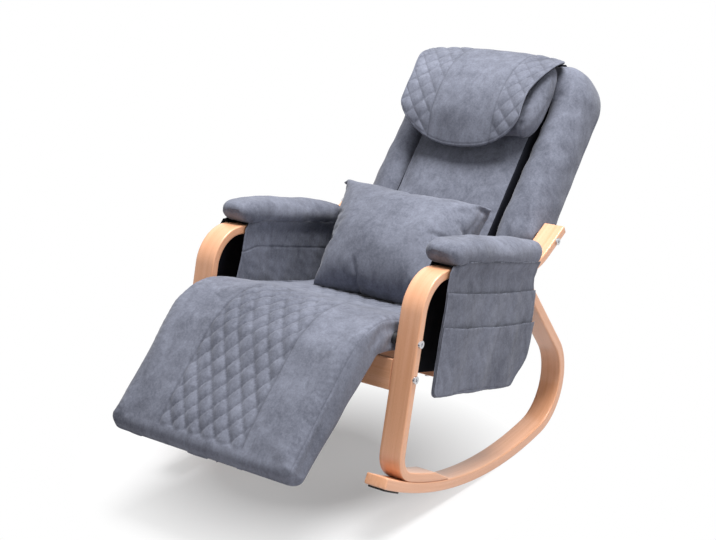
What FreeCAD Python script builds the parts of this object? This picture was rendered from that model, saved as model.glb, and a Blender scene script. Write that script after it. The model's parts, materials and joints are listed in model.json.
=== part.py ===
"""Rocking chair with a massage back: bentwood side frames, steel seat frame, pads, pillows and flaps.

The chair is drawn upright, with level arms and plumb legs, and then leans back by LEAN
about the centre of its rockers. +Z is up, -Y is the front and +X is the sitter's left.
"""
import FreeCAD
import Part
import math
import os

V = FreeCAD.Vector
X_AXIS = V(1, 0, 0)

# Bentwood side frames
LEAN = 14.0
FRAME_GAUGE = 570.0
STRIP_WIDTH = 54.0
STRIP_THICK = 20.0
STRIP_ROUND = 3.0
GLUE_LINE = 0.2
LEG_FRONT_Y = -222.0
ARM_TOP_Z = 493.0
TOP_BEND_R = 96.0
FOOT_BEND_R = 62.0
FOOT_END_Y = -8.0
FOOT_FEATHER = 16.0
FOOT_EDGE = 3.0
ARM_DIP_Y = 172.0
ARM_DIP_R = 180.0
ARM_TIP_ANGLE = 41.0
ARM_TIP_LENGTH = 87.0

# Rockers
ROCKER_R = 1000.0
ROCKER_THICK = 24.0
ROCKER_FRONT_ANGLE = 15.3
ROCKER_REAR_ANGLE = 23.9
REAR_BEND_R = 133.0
REAR_BEND_TURN = 119.6
UNDER_BEND_R = 150.0
UNDER_RUN = 110.0
RUBBER_THICK = 4.0
RUBBER_WIDTH = 40.0
RUBBER_ANGLE = 3.4
RUBBER_INSET_ANGLE = 0.5

# Cross rails and fasteners
RAIL_HEIGHT = 66.0
RAIL_CENTRE_Z = 262.0
SEAT_RAIL_Y = 36.0
SEAT_RAIL_WIDTH = 450.0
BOLT_D = 8.0
BOLT_HEAD_D = 17.0
BOLT_HEAD_H = 4.5
BOLT_KEY_D = 7.0
BOLT_GRIP = 32.0
BOLT_CLEAR = 0.4
TIP_BOLT_INSET = 45.0
ROCKER_BOLT_D = 6.0
ROCKER_BOLT_HEAD_D = 13.0
ROCKER_BOLT_HEAD_H = 4.0
ROCKER_BOLT_PITCH = 56.0
ROCKER_NUT_H = 5.0
RAIL_SCREW_D = 5.0
RAIL_SCREW_HEAD_D = 10.0
RAIL_SCREW_HEAD_H = 3.0

# Steel frame of seat and back
TUBE_D = 22.0
TUBE_WALL = 1.5
TUBE_BEND_R = 60.0
TUBE_GAUGE = 380.0
TUBE_END_GAP = 4.0
CROSS_TUBE_D = 25.0
CROSS_TUBE_Z = 337.0
REAR_CROSS_Y = 130.0
BACK_TUBE_TOP = 600.0
END_PLUG = 45.0
FOAM_CLEAR = 1.0

# Seat pad
SEAT_TOP_Z = 380.0
SEAT_THICK = 74.0
SEAT_WIDTH = 472.0
SEAT_UNDER_BACK = 86.0
DUST_COVER = 2.0
DUST_COVER_INSET = 12.0

# Leg rest
HINGE_Y = -276.0
HINGE_Z = 320.0
LEG_REST_DROP = 57.5
LEG_REST_WIDTH = 500.0
LEG_REST_LENGTH = 336.0
LEG_REST_TOP = 66.0
LEG_REST_ROOT_UNDER = 14.0
LEG_REST_END_UNDER = -14.0
LEG_REST_ROUND = 18.0
LEG_BAR_THICK = 6.0
LEG_BAR_HEIGHT = 24.0
LEG_BAR_LENGTH = 296.0
LEG_BAR_RISE = 6.0
LEG_CROSS_D = 18.0
RATCHET_R = 22.0
RATCHET_THICK = 4.0
RATCHET_TAIL = 46.0
HINGE_PIN_D = 10.0
HINGE_PIN_HEAD_D = 16.0
HINGE_PIN_HEAD_H = 2.5
HINGE_PIN_TAIL = 3.0
RUN_CLEAR = 0.6

# Back
RECLINE = 27.5
CROTCH_Y = 213.5
BACK_WIDTH = 494.0
BACK_LENGTH = 685.0
BACK_DEPTH = 115.0
BACK_CORNER_R = 90.0
BACK_FOOT_R = 20.0
BACK_FRONT_ROUND = 28.0
BACK_REAR_ROUND = 16.0
BACK_WALL = 45.0
BACK_HOLLOW_DEPTH = 44.0
REAR_COVER = 3.0
MAT_WIDTH = 296.0
MAT_BOTTOM = 12.0
MAT_TOP = 560.0
MAT_RECESS = 30.0
MAT_PROUD = 3.0
MAT_GAP = 8.0
HEATER = 2.0

# Vibration motors, control box and power inlet
MOTOR_D = 36.0
MOTOR_H = 18.0
BACK_MOTOR_X = 75.0
BACK_MOTOR_U = 330.0
MOTOR_CLEAR = 0.5
BOX_WIDTH = 90.0
BOX_LENGTH = 70.0
BOX_DEPTH = 26.0
BOX_BOTTOM = 70.0
INLET_D = 12.0
INLET_BORE_D = 6.5
INLET_PIN_D = 2.0
INLET_REACH = 3.0

# Neck pillow and its flap
NECK_WIDTH = 344.0
NECK_HEIGHT = 260.0
NECK_TOP_GAP = 19.0
NECK_TOP = BACK_LENGTH - NECK_TOP_GAP
NECK_BOTTOM = NECK_TOP - NECK_HEIGHT
NECK_REAR = 4.0
NECK_FRONT_BOTTOM = 34.0
NECK_FRONT_MIDDLE = 96.0
NECK_FRONT_TOP = 46.0
NECK_ROUND = 12.0
FLAP_THICK = 12.0
FLAP_CLEAR = 1.0
FLAP_OVERHANG = 18.0
FLAP_HINGE_BEHIND = 15.0
FLAP_HINGE_OVER = 3.0
FLAP_STRIP_WIDTH = 300.0
FLAP_STRIP_DEPTH = 26.0

# Kneading unit
KNEAD_TOP_GAP = 106.0
KNEAD_U = NECK_TOP - KNEAD_TOP_GAP
KNEAD_GAUGE = 110.0
CASE_WIDTH = 224.0
CASE_LENGTH = 100.0
CASE_WALL = 2.0
CASE_REAR = 9.0
CASE_DEPTH = 26.0
CASE_LID = 2.5
WHEEL_TEETH = 40
WHEEL_R = 46.0
TOOTH_H = 3.0
TOOTH_ROOT_SHARE = 0.3
TOOTH_TIP_SHARE = 0.15
WHEEL_THICK = 8.0
WHEEL_LEVEL = 22.0
HUB_R = 13.0
HUB_CLEAR = 2.0
SPINDLE_R = 5.0
HEAD_LEVEL = 40.0
HEAD_THICK = 6.0
HEAD_R = 44.0
BALL_R = 17.0
BALL_ORBIT = 26.0
BALL_SINK = 9.0
WORM_LEVEL = 26.0
WORM_R = 8.0
WORM_LENGTH = 50.0
WORM_PITCH = 6.25
WORM_GROOVE = 2.0
SHAFT_R = 4.0
SHAFT_TOP_GAP = 8.0
KNEAD_MOTOR_D = 32.0
KNEAD_MOTOR_LENGTH = 68.0
KNEAD_MOTOR_WALL = 2.0
ROTOR_GAP = 1.0
MOTOR_STANDOFF = 6.0
CAVITY_CLEAR = 3.0

# Lumbar pillow
LUMBAR_X = -25.0
LUMBAR_WIDTH = 406.0
LUMBAR_HEIGHT = 256.0
LUMBAR_MIDDLE = 90.0
LUMBAR_REAR = 8.0
LUMBAR_FRONT = 165.0
LUMBAR_FACE_WIDTH = 300.0
LUMBAR_FACE_HEIGHT = 180.0
LUMBAR_SEAT_GAP = 3.0
LUMBAR_TILT_SHARE = 0.25
LUMBAR_MOTOR_PITCH_X = 150.0
LUMBAR_MOTOR_PITCH_U = 80.0
LUMBAR_HEATER_WIDTH = 220.0
LUMBAR_HEATER_HEIGHT = 130.0
LUMBAR_HEATER_LEVEL = 115.0

# Arm pads and hanging flaps
PAD_WIDTH = 94.0
PAD_HEIGHT = 61.0
PAD_FRONT_Y = -165.0
PAD_REAR_Y = 245.0
PAD_ROUND = 22.0
PAD_LIFT = 1.0
BASE_WIDTH = 60.0
BASE_THICK = 6.0
BASE_INSET = 18.0
FLAP_STANDOFF = 4.0
FLAP_CLOTH = 2.0
OUTER_FLAP_FRONT_Y = -170.0
OUTER_FLAP_REAR_Y = 200.0
OUTER_FLAP_DROP = 279.0
INNER_FLAP_FRONT_Y = -165.0
INNER_FLAP_REAR_Y = 180.0
INNER_FLAP_DROP = 244.0
POCKET_DEPTH = 5.0
UPPER_POCKET_DROP = 55.0
LOWER_POCKET_DROP = 128.0
POCKET_RISE = 5.0
POCKET_SEAM = 0.03

SEAM_GAP = 0.3

# Levels and places that follow from the sizes above
STRIP_X = FRAME_GAUGE / 2
STRIP_IN = STRIP_X - STRIP_WIDTH / 2
STRIP_OUT = STRIP_X + STRIP_WIDTH / 2
LEG_MID_Y = LEG_FRONT_Y + STRIP_THICK / 2
ARM_UNDER_Z = ARM_TOP_Z - STRIP_THICK
ROCKER_TOP_R = ROCKER_R - ROCKER_THICK
SEAT_UNDER_Z = SEAT_TOP_Z - SEAT_THICK
SEAT_REAR_Y = CROTCH_Y + SEAT_UNDER_BACK
NOSE_R = SEAT_TOP_Z - HINGE_Z
TUBE_X = TUBE_GAUGE / 2
TUBE_Z = SEAT_UNDER_Z + TUBE_D / 2
PAD_UNDER_Z = ARM_TOP_Z + BASE_THICK
RATCHET_X = TUBE_X + TUBE_D / 2 + SEAM_GAP
BAR_X = RATCHET_X + RATCHET_THICK + RUN_CLEAR
OUTER_X = STRIP_OUT + FLAP_STANDOFF
CASE_BOTTOM = KNEAD_U - CASE_LENGTH / 2
MOTOR_TOP = CASE_BOTTOM - MOTOR_STANDOFF
REACH = 2 * BACK_LENGTH


def box(x0, x1, y0, y1, z0, z1):
    return Part.makeBox(x1 - x0, y1 - y0, z1 - z0, V(x0, y0, z0))


def rod(start, end, radius):
    run = end - start
    return Part.makeCylinder(radius, run.Length, start, run)


def rod_x(x0, x1, y, z, radius):
    return rod(V(x0, y, z), V(x1, y, z), radius)


def mirrored(shape):
    return shape.mirror(V(0, 0, 0), X_AXIS)


def turned(shape, degrees, y=0.0, z=0.0):
    copy = shape.copy()
    copy.rotate(V(0, y, z), X_AXIS, degrees)
    return copy


def joined(shapes):
    return shapes[0].fuse(shapes[1:]).removeSplitter()


def group(shapes):
    return Part.makeCompound(shapes)


def prism(points, x0, x1):
    """Straight-sided outline in the side plane, carried from x0 to x1."""
    corners = [V(x0, y, z) for y, z in points]
    return Part.Face(Part.makePolygon(corners + corners[:1])).extrude(V(x1 - x0, 0, 0))


def on_back(shape):
    """Place a shape drawn about the seat crotch, with the mat in its XZ plane, on the reclined back."""
    copy = turned(shape, -RECLINE)
    copy.translate(V(0, CROTCH_Y, SEAT_TOP_Z))
    return copy


def on_leg_rest(shape):
    """Place a shape drawn about the leg rest hinge, level and pointing forward, at the resting drop."""
    copy = turned(shape, LEG_REST_DROP)
    copy.translate(V(0, HINGE_Y, HINGE_Z))
    return copy


def back_point(y, z):
    """Distance behind the mat plane and height up the back of a point of the side plane."""
    lean = math.radians(RECLINE)
    dy = y - CROTCH_Y
    dz = z - SEAT_TOP_Z
    behind = dy * math.cos(lean) - dz * math.sin(lean)
    up = dy * math.sin(lean) + dz * math.cos(lean)
    return behind, up


def spun(point, centre, degrees):
    angle = math.radians(degrees)
    arm = point - centre
    y = arm.y * math.cos(angle) - arm.z * math.sin(angle)
    z = arm.y * math.sin(angle) + arm.z * math.cos(angle)
    return centre + V(0, y, z)


def trace(start, heading, steps, side, thick):
    """Follow a bent strip: lines (length,) and arcs (radius, turn) along one face, wall on one side.

    Returns the edges of both faces and the last point and heading.
    """
    face = []
    wall = []
    here = start
    for step in steps:
        angle = math.radians(heading)
        ahead = V(0, math.cos(angle), math.sin(angle))
        left = V(0, -ahead.z, ahead.y)
        across = left * (side * thick)
        if len(step) == 1:
            there = here + ahead * step[0]
            face.append(Part.LineSegment(here, there))
            wall.append(Part.LineSegment(here + across, there + across))
        else:
            radius, turn = step
            centre = here + left * math.copysign(radius, turn)
            half = spun(here, centre, turn / 2)
            there = spun(here, centre, turn)
            face.append(Part.Arc(here, half, there))
            ends = [spun(here + across, centre, part * turn) for part in (0, 0.5, 1)]
            wall.append(Part.Arc(*ends))
            heading += turn
        here = there
    return face, wall, here, heading


def bent_strip(start, heading, steps, side, thick):
    """Bent strip of the frame's width, drawn at +X, with its long edges rounded."""
    face, wall, _, _ = trace(start, heading, steps, side, thick)
    caps = [
        Part.LineSegment(face[0].StartPoint, wall[0].StartPoint),
        Part.LineSegment(face[-1].EndPoint, wall[-1].EndPoint),
    ]
    edges = [curve.toShape() for curve in face + wall + caps]
    outline = Part.Wire(Part.__sortEdges__(edges))
    outline.translate(V(STRIP_IN, 0, 0))
    solid = Part.Face(outline).extrude(V(STRIP_WIDTH, 0, 0))
    rims = [edge for edge in solid.Edges if abs(edge.tangentAt(edge.FirstParameter).x) < 0.5]
    return solid.makeFillet(min(STRIP_ROUND, thick / 3), rims)


def rocker_point(radius, angle):
    """Point on a circle about the rockers' centre, at an angle forward of straight down."""
    turn = math.radians(angle)
    return V(0, -radius * math.sin(turn), ROCKER_R - radius * math.cos(turn))


# Arm and leg strip

def arm_leg_path():
    seat_r = ROCKER_TOP_R - GLUE_LINE
    first = math.degrees(math.asin(-FOOT_END_Y / seat_r))
    bend_y = LEG_FRONT_Y + FOOT_BEND_R
    bend = math.degrees(math.asin(-bend_y / (seat_r - FOOT_BEND_R)))
    bend_z = ROCKER_R - (seat_r - FOOT_BEND_R) * math.cos(math.radians(bend))
    steps = [
        (seat_r, first - bend),
        (FOOT_BEND_R, bend - 90),
        (ARM_TOP_Z - TOP_BEND_R - bend_z,),
        (TOP_BEND_R, -90),
        (ARM_DIP_Y - LEG_FRONT_Y - TOP_BEND_R,),
        (ARM_DIP_R, ARM_TIP_ANGLE),
        (ARM_TIP_LENGTH,),
    ]
    return rocker_point(seat_r, first), 180 - first, steps


def tip_bolt_place():
    start, heading, steps = arm_leg_path()
    _, _, tip, heading = trace(start, heading, steps, -1, STRIP_THICK)
    angle = math.radians(heading)
    ahead = V(0, math.cos(angle), math.sin(angle))
    right = V(0, ahead.z, -ahead.y)
    return tip - ahead * TIP_BOLT_INSET + right * (STRIP_THICK / 2)


TIP_BOLT = tip_bolt_place()
LEG_BOLTS = [V(0, LEG_MID_Y, CROSS_TUBE_Z), V(0, LEG_MID_Y, RAIL_CENTRE_Z)]
STUB_BEHIND, STUB_UP = back_point(TIP_BOLT.y, TIP_BOLT.z)


def rocker_bolt_ys():
    face_end = under_run_start() - UNDER_RUN / 2
    return [face_end - ROCKER_BOLT_PITCH / 2, face_end + ROCKER_BOLT_PITCH / 2]


def arm_leg():
    strip = bent_strip(*arm_leg_path(), -1, STRIP_THICK)
    foot = rocker_point(ROCKER_TOP_R, math.degrees(math.asin(-FOOT_END_Y / ROCKER_TOP_R)))
    reach = 2 * STRIP_WIDTH
    shave = box(STRIP_IN, STRIP_OUT, -reach, reach, 0, reach)
    shave = turned(shave, -FOOT_FEATHER)
    shave.translate(V(0, foot.y, foot.z + FOOT_EDGE))
    cuts = [shave]
    for place in LEG_BOLTS + [TIP_BOLT]:
        cuts.append(rod_x(STRIP_IN, STRIP_OUT, place.y, place.z, (BOLT_D + BOLT_CLEAR) / 2))
    for y in rocker_bolt_ys():
        low = V(STRIP_X, y, ARM_UNDER_Z)
        cuts.append(rod(low, V(STRIP_X, y, ARM_TOP_Z), (ROCKER_BOLT_D + BOLT_CLEAR) / 2))
        sink = V(STRIP_X, y, ARM_TOP_Z - ROCKER_BOLT_HEAD_H - SEAM_GAP)
        cuts.append(rod(sink, V(STRIP_X, y, ARM_TOP_Z), (ROCKER_BOLT_HEAD_D + BOLT_CLEAR) / 2))
    return strip.cut(cuts)


# Rocker strip

def rocker_path():
    heading = ROCKER_REAR_ANGLE + REAR_BEND_TURN
    start = rocker_point(ROCKER_R, ROCKER_FRONT_ANGLE)
    steps = [
        (ROCKER_R, ROCKER_FRONT_ANGLE + ROCKER_REAR_ANGLE),
        (REAR_BEND_R, REAR_BEND_TURN),
    ]
    _, _, corner, _ = trace(start, -ROCKER_FRONT_ANGLE, steps, 1, ROCKER_THICK)
    last_turn = 180 - heading
    rise = ARM_UNDER_Z - GLUE_LINE - corner.z - UNDER_BEND_R * (1 - math.cos(math.radians(last_turn)))
    steps.append((rise / math.sin(math.radians(heading)),))
    steps.append((UNDER_BEND_R, last_turn))
    return start, -ROCKER_FRONT_ANGLE, steps


def under_run_start():
    start, heading, steps = rocker_path()
    _, _, corner, _ = trace(start, heading, steps, 1, ROCKER_THICK)
    return corner.y


def rocker():
    start, heading, steps = rocker_path()
    strip = bent_strip(start, heading, steps + [(UNDER_RUN,)], 1, ROCKER_THICK)
    cuts = []
    for y in rocker_bolt_ys():
        low = V(STRIP_X, y, ARM_UNDER_Z - GLUE_LINE - ROCKER_THICK)
        cuts.append(rod(low, V(STRIP_X, y, ARM_UNDER_Z), (ROCKER_BOLT_D + BOLT_CLEAR) / 2))
    return strip.cut(cuts)


def rocker_rubber():
    """Thin pad that follows the underside of the rocker at its front end."""
    front = ROCKER_FRONT_ANGLE - RUBBER_INSET_ANGLE
    rear = front - RUBBER_ANGLE
    radii = (ROCKER_R + GLUE_LINE, ROCKER_R + GLUE_LINE + RUBBER_THICK)
    angles = (front, (front + rear) / 2, rear)
    arcs = [[rocker_point(radius, angle) for angle in angles] for radius in radii]
    edges = [Part.Arc(*points) for points in arcs]
    edges += [Part.LineSegment(arcs[0][end], arcs[1][end]) for end in (0, -1)]
    outline = Part.Wire(Part.__sortEdges__([edge.toShape() for edge in edges]))
    outline.translate(V(STRIP_X - RUBBER_WIDTH / 2, 0, 0))
    return Part.Face(outline).extrude(V(RUBBER_WIDTH, 0, 0))


# Fasteners and rails

def frame_bolt(place):
    head = rod_x(STRIP_OUT, STRIP_OUT + BOLT_HEAD_H, place.y, place.z, BOLT_HEAD_D / 2)
    shank = rod_x(STRIP_IN - BOLT_GRIP, STRIP_OUT, place.y, place.z, BOLT_D / 2)
    key = rod_x(STRIP_OUT + BOLT_HEAD_H / 3, STRIP_OUT + BOLT_HEAD_H, place.y, place.z, BOLT_KEY_D / 2)
    return joined([head, shank]).cut(key)


def rocker_bolt(y):
    top = ARM_TOP_Z - SEAM_GAP
    under = ARM_UNDER_Z - GLUE_LINE - ROCKER_THICK
    head = rod(V(STRIP_X, y, top - ROCKER_BOLT_HEAD_H), V(STRIP_X, y, top), ROCKER_BOLT_HEAD_D / 2)
    shank = rod(V(STRIP_X, y, under - ROCKER_NUT_H), V(STRIP_X, y, top), ROCKER_BOLT_D / 2)
    nut = rod(V(STRIP_X, y, under - ROCKER_NUT_H), V(STRIP_X, y, under), ROCKER_BOLT_HEAD_D / 2)
    return joined([head, shank, nut])


def both_sides(shapes):
    return group(shapes + [mirrored(shape) for shape in shapes])


def front_rail():
    rail = box(-STRIP_IN, STRIP_IN, LEG_FRONT_Y, LEG_FRONT_Y + STRIP_THICK,
               RAIL_CENTRE_Z - RAIL_HEIGHT / 2, RAIL_CENTRE_Z + RAIL_HEIGHT / 2)
    along = [edge for edge in rail.Edges if abs(edge.tangentAt(0).x) > 0.5]
    rail = rail.makeFillet(STRIP_ROUND, along)
    hole = rod_x(STRIP_IN - END_PLUG, STRIP_IN, LEG_MID_Y, RAIL_CENTRE_Z, (BOLT_D + BOLT_CLEAR) / 2)
    return rail.cut([hole, mirrored(hole)])


def seat_rail_screw():
    base = RAIL_CENTRE_Z - RAIL_HEIGHT / 2
    head = rod(V(TUBE_X, SEAT_RAIL_Y, base - RAIL_SCREW_HEAD_H), V(TUBE_X, SEAT_RAIL_Y, base),
               RAIL_SCREW_HEAD_D / 2)
    shank = rod(V(TUBE_X, SEAT_RAIL_Y, base), V(TUBE_X, SEAT_RAIL_Y, TUBE_Z), RAIL_SCREW_D / 2)
    return joined([head, shank])


def seat_rail():
    base = RAIL_CENTRE_Z - RAIL_HEIGHT / 2
    rail = box(-SEAT_RAIL_WIDTH / 2, SEAT_RAIL_WIDTH / 2, SEAT_RAIL_Y - STRIP_THICK / 2,
               SEAT_RAIL_Y + STRIP_THICK / 2, base, SEAT_UNDER_Z)
    along = [edge for edge in rail.Edges if abs(edge.tangentAt(0).x) > 0.5]
    rail = rail.makeFillet(STRIP_ROUND, along)
    hole = rod(V(TUBE_X, SEAT_RAIL_Y, base), V(TUBE_X, SEAT_RAIL_Y, SEAT_UNDER_Z),
               (RAIL_SCREW_D + BOLT_CLEAR) / 2)
    return rail.cut([hole, mirrored(hole)])


# Steel frame

def tube_line():
    """Seat run, bend and back run of a side tube, in the side plane."""
    lean = math.radians(90 - RECLINE)
    up = V(0, math.cos(lean), math.sin(lean))
    rear = V(0, up.z, -up.y)
    back_foot = V(0, CROTCH_Y, SEAT_TOP_Z) + rear * STUB_BEHIND
    corner = back_foot + up * ((TUBE_Z - back_foot.z) / up.z)
    reach = TUBE_BEND_R * math.tan(lean / 2)
    start = V(0, HINGE_Y + HINGE_PIN_D + TUBE_END_GAP, TUBE_Z)
    bend_start = corner - V(0, reach, 0)
    bend_end = corner + up * reach
    centre = bend_start + V(0, 0, TUBE_BEND_R)
    bend_mid = spun(bend_start, centre, (90 - RECLINE) / 2)
    end = back_foot + up * BACK_TUBE_TOP
    return start, bend_start, bend_mid, bend_end, end


def side_tube(radius):
    start, bend_start, bend_mid, bend_end, end = tube_line()
    edges = [
        Part.LineSegment(start, bend_start).toShape(),
        Part.Arc(bend_start, bend_mid, bend_end).toShape(),
        Part.LineSegment(bend_end, end).toShape(),
    ]
    ring = Part.Wire(Part.makeCircle(radius, start, V(0, 1, 0)))
    tube = Part.Wire(edges).makePipeShell([ring], True, False)
    tube.translate(V(TUBE_X, 0, 0))
    return tube


def cross_tubes(extra):
    """Front tube between the legs, tube under the seat and tube at the top of the back."""
    top = tube_line()[-1]
    tubes = [
        rod_x(-STRIP_IN, STRIP_IN, LEG_MID_Y, CROSS_TUBE_Z, CROSS_TUBE_D / 2 + extra),
        rod_x(-TUBE_X, TUBE_X, REAR_CROSS_Y, TUBE_Z, TUBE_D / 2 + extra),
        rod_x(-TUBE_X - TUBE_D / 2 - extra, TUBE_X + TUBE_D / 2 + extra, top.y, top.z, TUBE_D / 2 + extra),
    ]
    return tubes


def tip_stub(extra):
    return rod_x(TUBE_X, STRIP_IN, TIP_BOLT.y, TIP_BOLT.z, CROSS_TUBE_D / 2 + extra)


def steel_frame():
    side = side_tube(TUBE_D / 2)
    stub = tip_stub(0)
    skin = joined([side, mirrored(side), stub, mirrored(stub)] + cross_tubes(0))
    bore = side_tube(TUBE_D / 2 - TUBE_WALL)
    hollow = rod_x(END_PLUG - STRIP_IN, STRIP_IN - END_PLUG, LEG_MID_Y, CROSS_TUBE_Z,
                   CROSS_TUBE_D / 2 - TUBE_WALL)
    cuts = [bore, mirrored(bore), hollow]
    for place in (LEG_BOLTS[0], TIP_BOLT):
        thread = rod_x(STRIP_IN - END_PLUG, STRIP_IN, place.y, place.z, (BOLT_D + BOLT_CLEAR) / 2)
        cuts += [thread, mirrored(thread)]
    screw = rod(V(TUBE_X, SEAT_RAIL_Y, SEAT_UNDER_Z), V(TUBE_X, SEAT_RAIL_Y, TUBE_Z),
                (RAIL_SCREW_D + BOLT_CLEAR) / 2)
    return skin.cut(cuts + [screw, mirrored(screw)])


def foam_channels():
    side = side_tube(TUBE_D / 2 + FOAM_CLEAR)
    stub = tip_stub(FOAM_CLEAR)
    return [side, mirrored(side), stub, mirrored(stub)] + cross_tubes(FOAM_CLEAR)


# Seat pad

def behind_back_foot():
    """Everything from just under the foot of the back upwards, on the reclined plane."""
    return on_back(box(-BACK_WIDTH, BACK_WIDTH, -REACH, REACH, -FOAM_CLEAR, REACH))


def seat_pad():
    half = SEAT_WIDTH / 2
    slab = box(-half, half, HINGE_Y, SEAT_REAR_Y, SEAT_UNDER_Z, SEAT_TOP_Z)
    nose = rod_x(-half, half, HINGE_Y, HINGE_Z, NOSE_R)
    nose = nose.common(box(-half, half, HINGE_Y - NOSE_R, HINGE_Y, SEAT_UNDER_Z, SEAT_TOP_Z))
    shadow = behind_back_foot().common(box(-half, half, CROTCH_Y, SEAT_REAR_Y, SEAT_UNDER_Z, SEAT_TOP_Z))
    inner = RATCHET_X - HINGE_PIN_TAIL - FOAM_CLEAR
    outer = BAR_X + LEG_BAR_THICK + RUN_CLEAR + HINGE_PIN_HEAD_H + FOAM_CLEAR
    slot = box(inner, outer, HINGE_Y - NOSE_R, HINGE_Y + RATCHET_TAIL + FOAM_CLEAR,
               SEAT_UNDER_Z, HINGE_Z + RATCHET_R + FOAM_CLEAR)
    return joined([slab, nose]).cut(foam_channels() + [shadow, slot, mirrored(slot)])


def seat_dust_cover():
    half = SEAT_RAIL_WIDTH / 2
    top = SEAT_UNDER_Z - SEAM_GAP
    front = LEG_FRONT_Y + STRIP_THICK
    sheet = box(-half, half, front, SEAT_REAR_Y - DUST_COVER_INSET, top - DUST_COVER, top)
    room = STRIP_THICK / 2 + FOAM_CLEAR
    gap = box(-half, half, SEAT_RAIL_Y - room, SEAT_RAIL_Y + room, top - DUST_COVER, top)
    return group(sheet.cut(gap).Solids)


# Leg rest and its ratchet hinges

def ratchet_plate():
    disc = rod_x(RATCHET_X, RATCHET_X + RATCHET_THICK, HINGE_Y, HINGE_Z, RATCHET_R)
    tail = box(RATCHET_X, RATCHET_X + RATCHET_THICK, HINGE_Y, HINGE_Y + RATCHET_TAIL,
               TUBE_Z - TUBE_D / 2, TUBE_Z + TUBE_D / 2)
    bore = rod_x(RATCHET_X, RATCHET_X + RATCHET_THICK, HINGE_Y, HINGE_Z, (HINGE_PIN_D + BOLT_CLEAR) / 2)
    return joined([disc, tail]).cut(bore)


def hinge_pin():
    end = BAR_X + LEG_BAR_THICK + RUN_CLEAR
    shank = rod_x(RATCHET_X - HINGE_PIN_TAIL, end, HINGE_Y, HINGE_Z, HINGE_PIN_D / 2)
    head = rod_x(end, end + HINGE_PIN_HEAD_H, HINGE_Y, HINGE_Z, HINGE_PIN_HEAD_D / 2)
    return joined([shank, head])


def leg_bar(extra):
    half = LEG_BAR_HEIGHT / 2 + extra
    bar = box(BAR_X - extra, BAR_X + LEG_BAR_THICK + extra, -LEG_BAR_LENGTH - extra, 0, -half, half)
    return turned(bar, -LEG_BAR_RISE)


def leg_cross(extra):
    tube = rod_x(-BAR_X, BAR_X, LEG_CROSS_D - LEG_BAR_LENGTH, 0, LEG_CROSS_D / 2 + extra)
    return turned(tube, -LEG_BAR_RISE)


def leg_rest_frame():
    disc = rod_x(BAR_X, BAR_X + LEG_BAR_THICK, 0, 0, RATCHET_R)
    bore = rod_x(BAR_X, BAR_X + LEG_BAR_THICK, 0, 0, HINGE_PIN_D / 2 + RUN_CLEAR)
    side = joined([disc, leg_bar(0)]).cut(bore)
    return on_leg_rest(joined([side, mirrored(side), leg_cross(0)]))


def leg_rest_pad():
    half = LEG_REST_WIDTH / 2
    outline = [
        (0, LEG_REST_TOP),
        (-LEG_REST_LENGTH, LEG_REST_TOP),
        (-LEG_REST_LENGTH, -LEG_REST_END_UNDER),
        (-NOSE_R, -LEG_REST_ROOT_UNDER),
        (0, -LEG_REST_ROOT_UNDER),
    ]
    slab = prism(outline, -half, half)
    rims = [edge for edge in slab.Edges if edge.BoundBox.YMax < -NOSE_R]
    slab = slab.makeFillet(min(LEG_REST_ROUND, LEG_REST_TOP / 4), rims)
    nose = rod_x(-half, half, 0, 0, NOSE_R + FOAM_CLEAR)
    bars = [leg_bar(FOAM_CLEAR), mirrored(leg_bar(FOAM_CLEAR)), leg_cross(FOAM_CLEAR)]
    return on_leg_rest(slab.cut([nose] + bars))


def leg_rest_dust_cover():
    half = LEG_REST_WIDTH / 2 - DUST_COVER_INSET
    run = LEG_REST_LENGTH - NOSE_R
    slope = (LEG_REST_ROOT_UNDER - LEG_REST_END_UNDER) / run
    near = NOSE_R + DUST_COVER_INSET
    far = LEG_REST_LENGTH - LEG_REST_ROUND
    tops = [(-y, slope * (y - NOSE_R) - LEG_REST_ROOT_UNDER - SEAM_GAP) for y in (near, far)]
    unders = [(y, z - DUST_COVER) for y, z in reversed(tops)]
    return on_leg_rest(prism(tops + unders, -half, half))


# Back

def back_outline(inset, y0, y1):
    """Back-shaped plate: rounded top corners, seen from the front, between two depths."""
    half = BACK_WIDTH / 2 - inset
    plate = box(-half, half, y0, y1, inset, BACK_LENGTH - inset)
    deep = [edge for edge in plate.Edges if abs(edge.tangentAt(0).y) > 0.5]
    tops = [edge for edge in deep if edge.BoundBox.ZMin > BACK_LENGTH / 2]
    plate = plate.makeFillet(max(BACK_CORNER_R - inset, BACK_FOOT_R), tops)
    deep = [edge for edge in plate.Edges if abs(edge.tangentAt(0).y) > 0.5]
    feet = [edge for edge in deep if edge.BoundBox.ZMax < inset + BACK_FOOT_R]
    return plate.makeFillet(BACK_FOOT_R, feet)


def back_motor(y0, y1, radius):
    return rod(V(BACK_MOTOR_X, y0, BACK_MOTOR_U), V(BACK_MOTOR_X, y1, BACK_MOTOR_U), radius)


def back_shell():
    block = back_outline(0, 0, BACK_DEPTH - REAR_COVER)
    front = [edge for edge in block.Edges if edge.BoundBox.YMax < BACK_FRONT_ROUND]
    block = block.makeFillet(min(BACK_FRONT_ROUND, BACK_DEPTH / 4), front)
    half = MAT_WIDTH / 2 + MAT_GAP
    recess = box(-half, half, 0, MAT_RECESS, 0, MAT_TOP + MAT_GAP)
    hollow = back_outline(BACK_WALL, BACK_DEPTH - BACK_HOLLOW_DEPTH, BACK_DEPTH)
    motor = back_motor(MAT_RECESS, MAT_RECESS + MOTOR_H + MOTOR_CLEAR, MOTOR_D / 2 + MOTOR_CLEAR)
    shell = block.cut([recess, hollow, motor, mirrored(motor)])
    return on_back(shell).cut(foam_channels())


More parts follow.
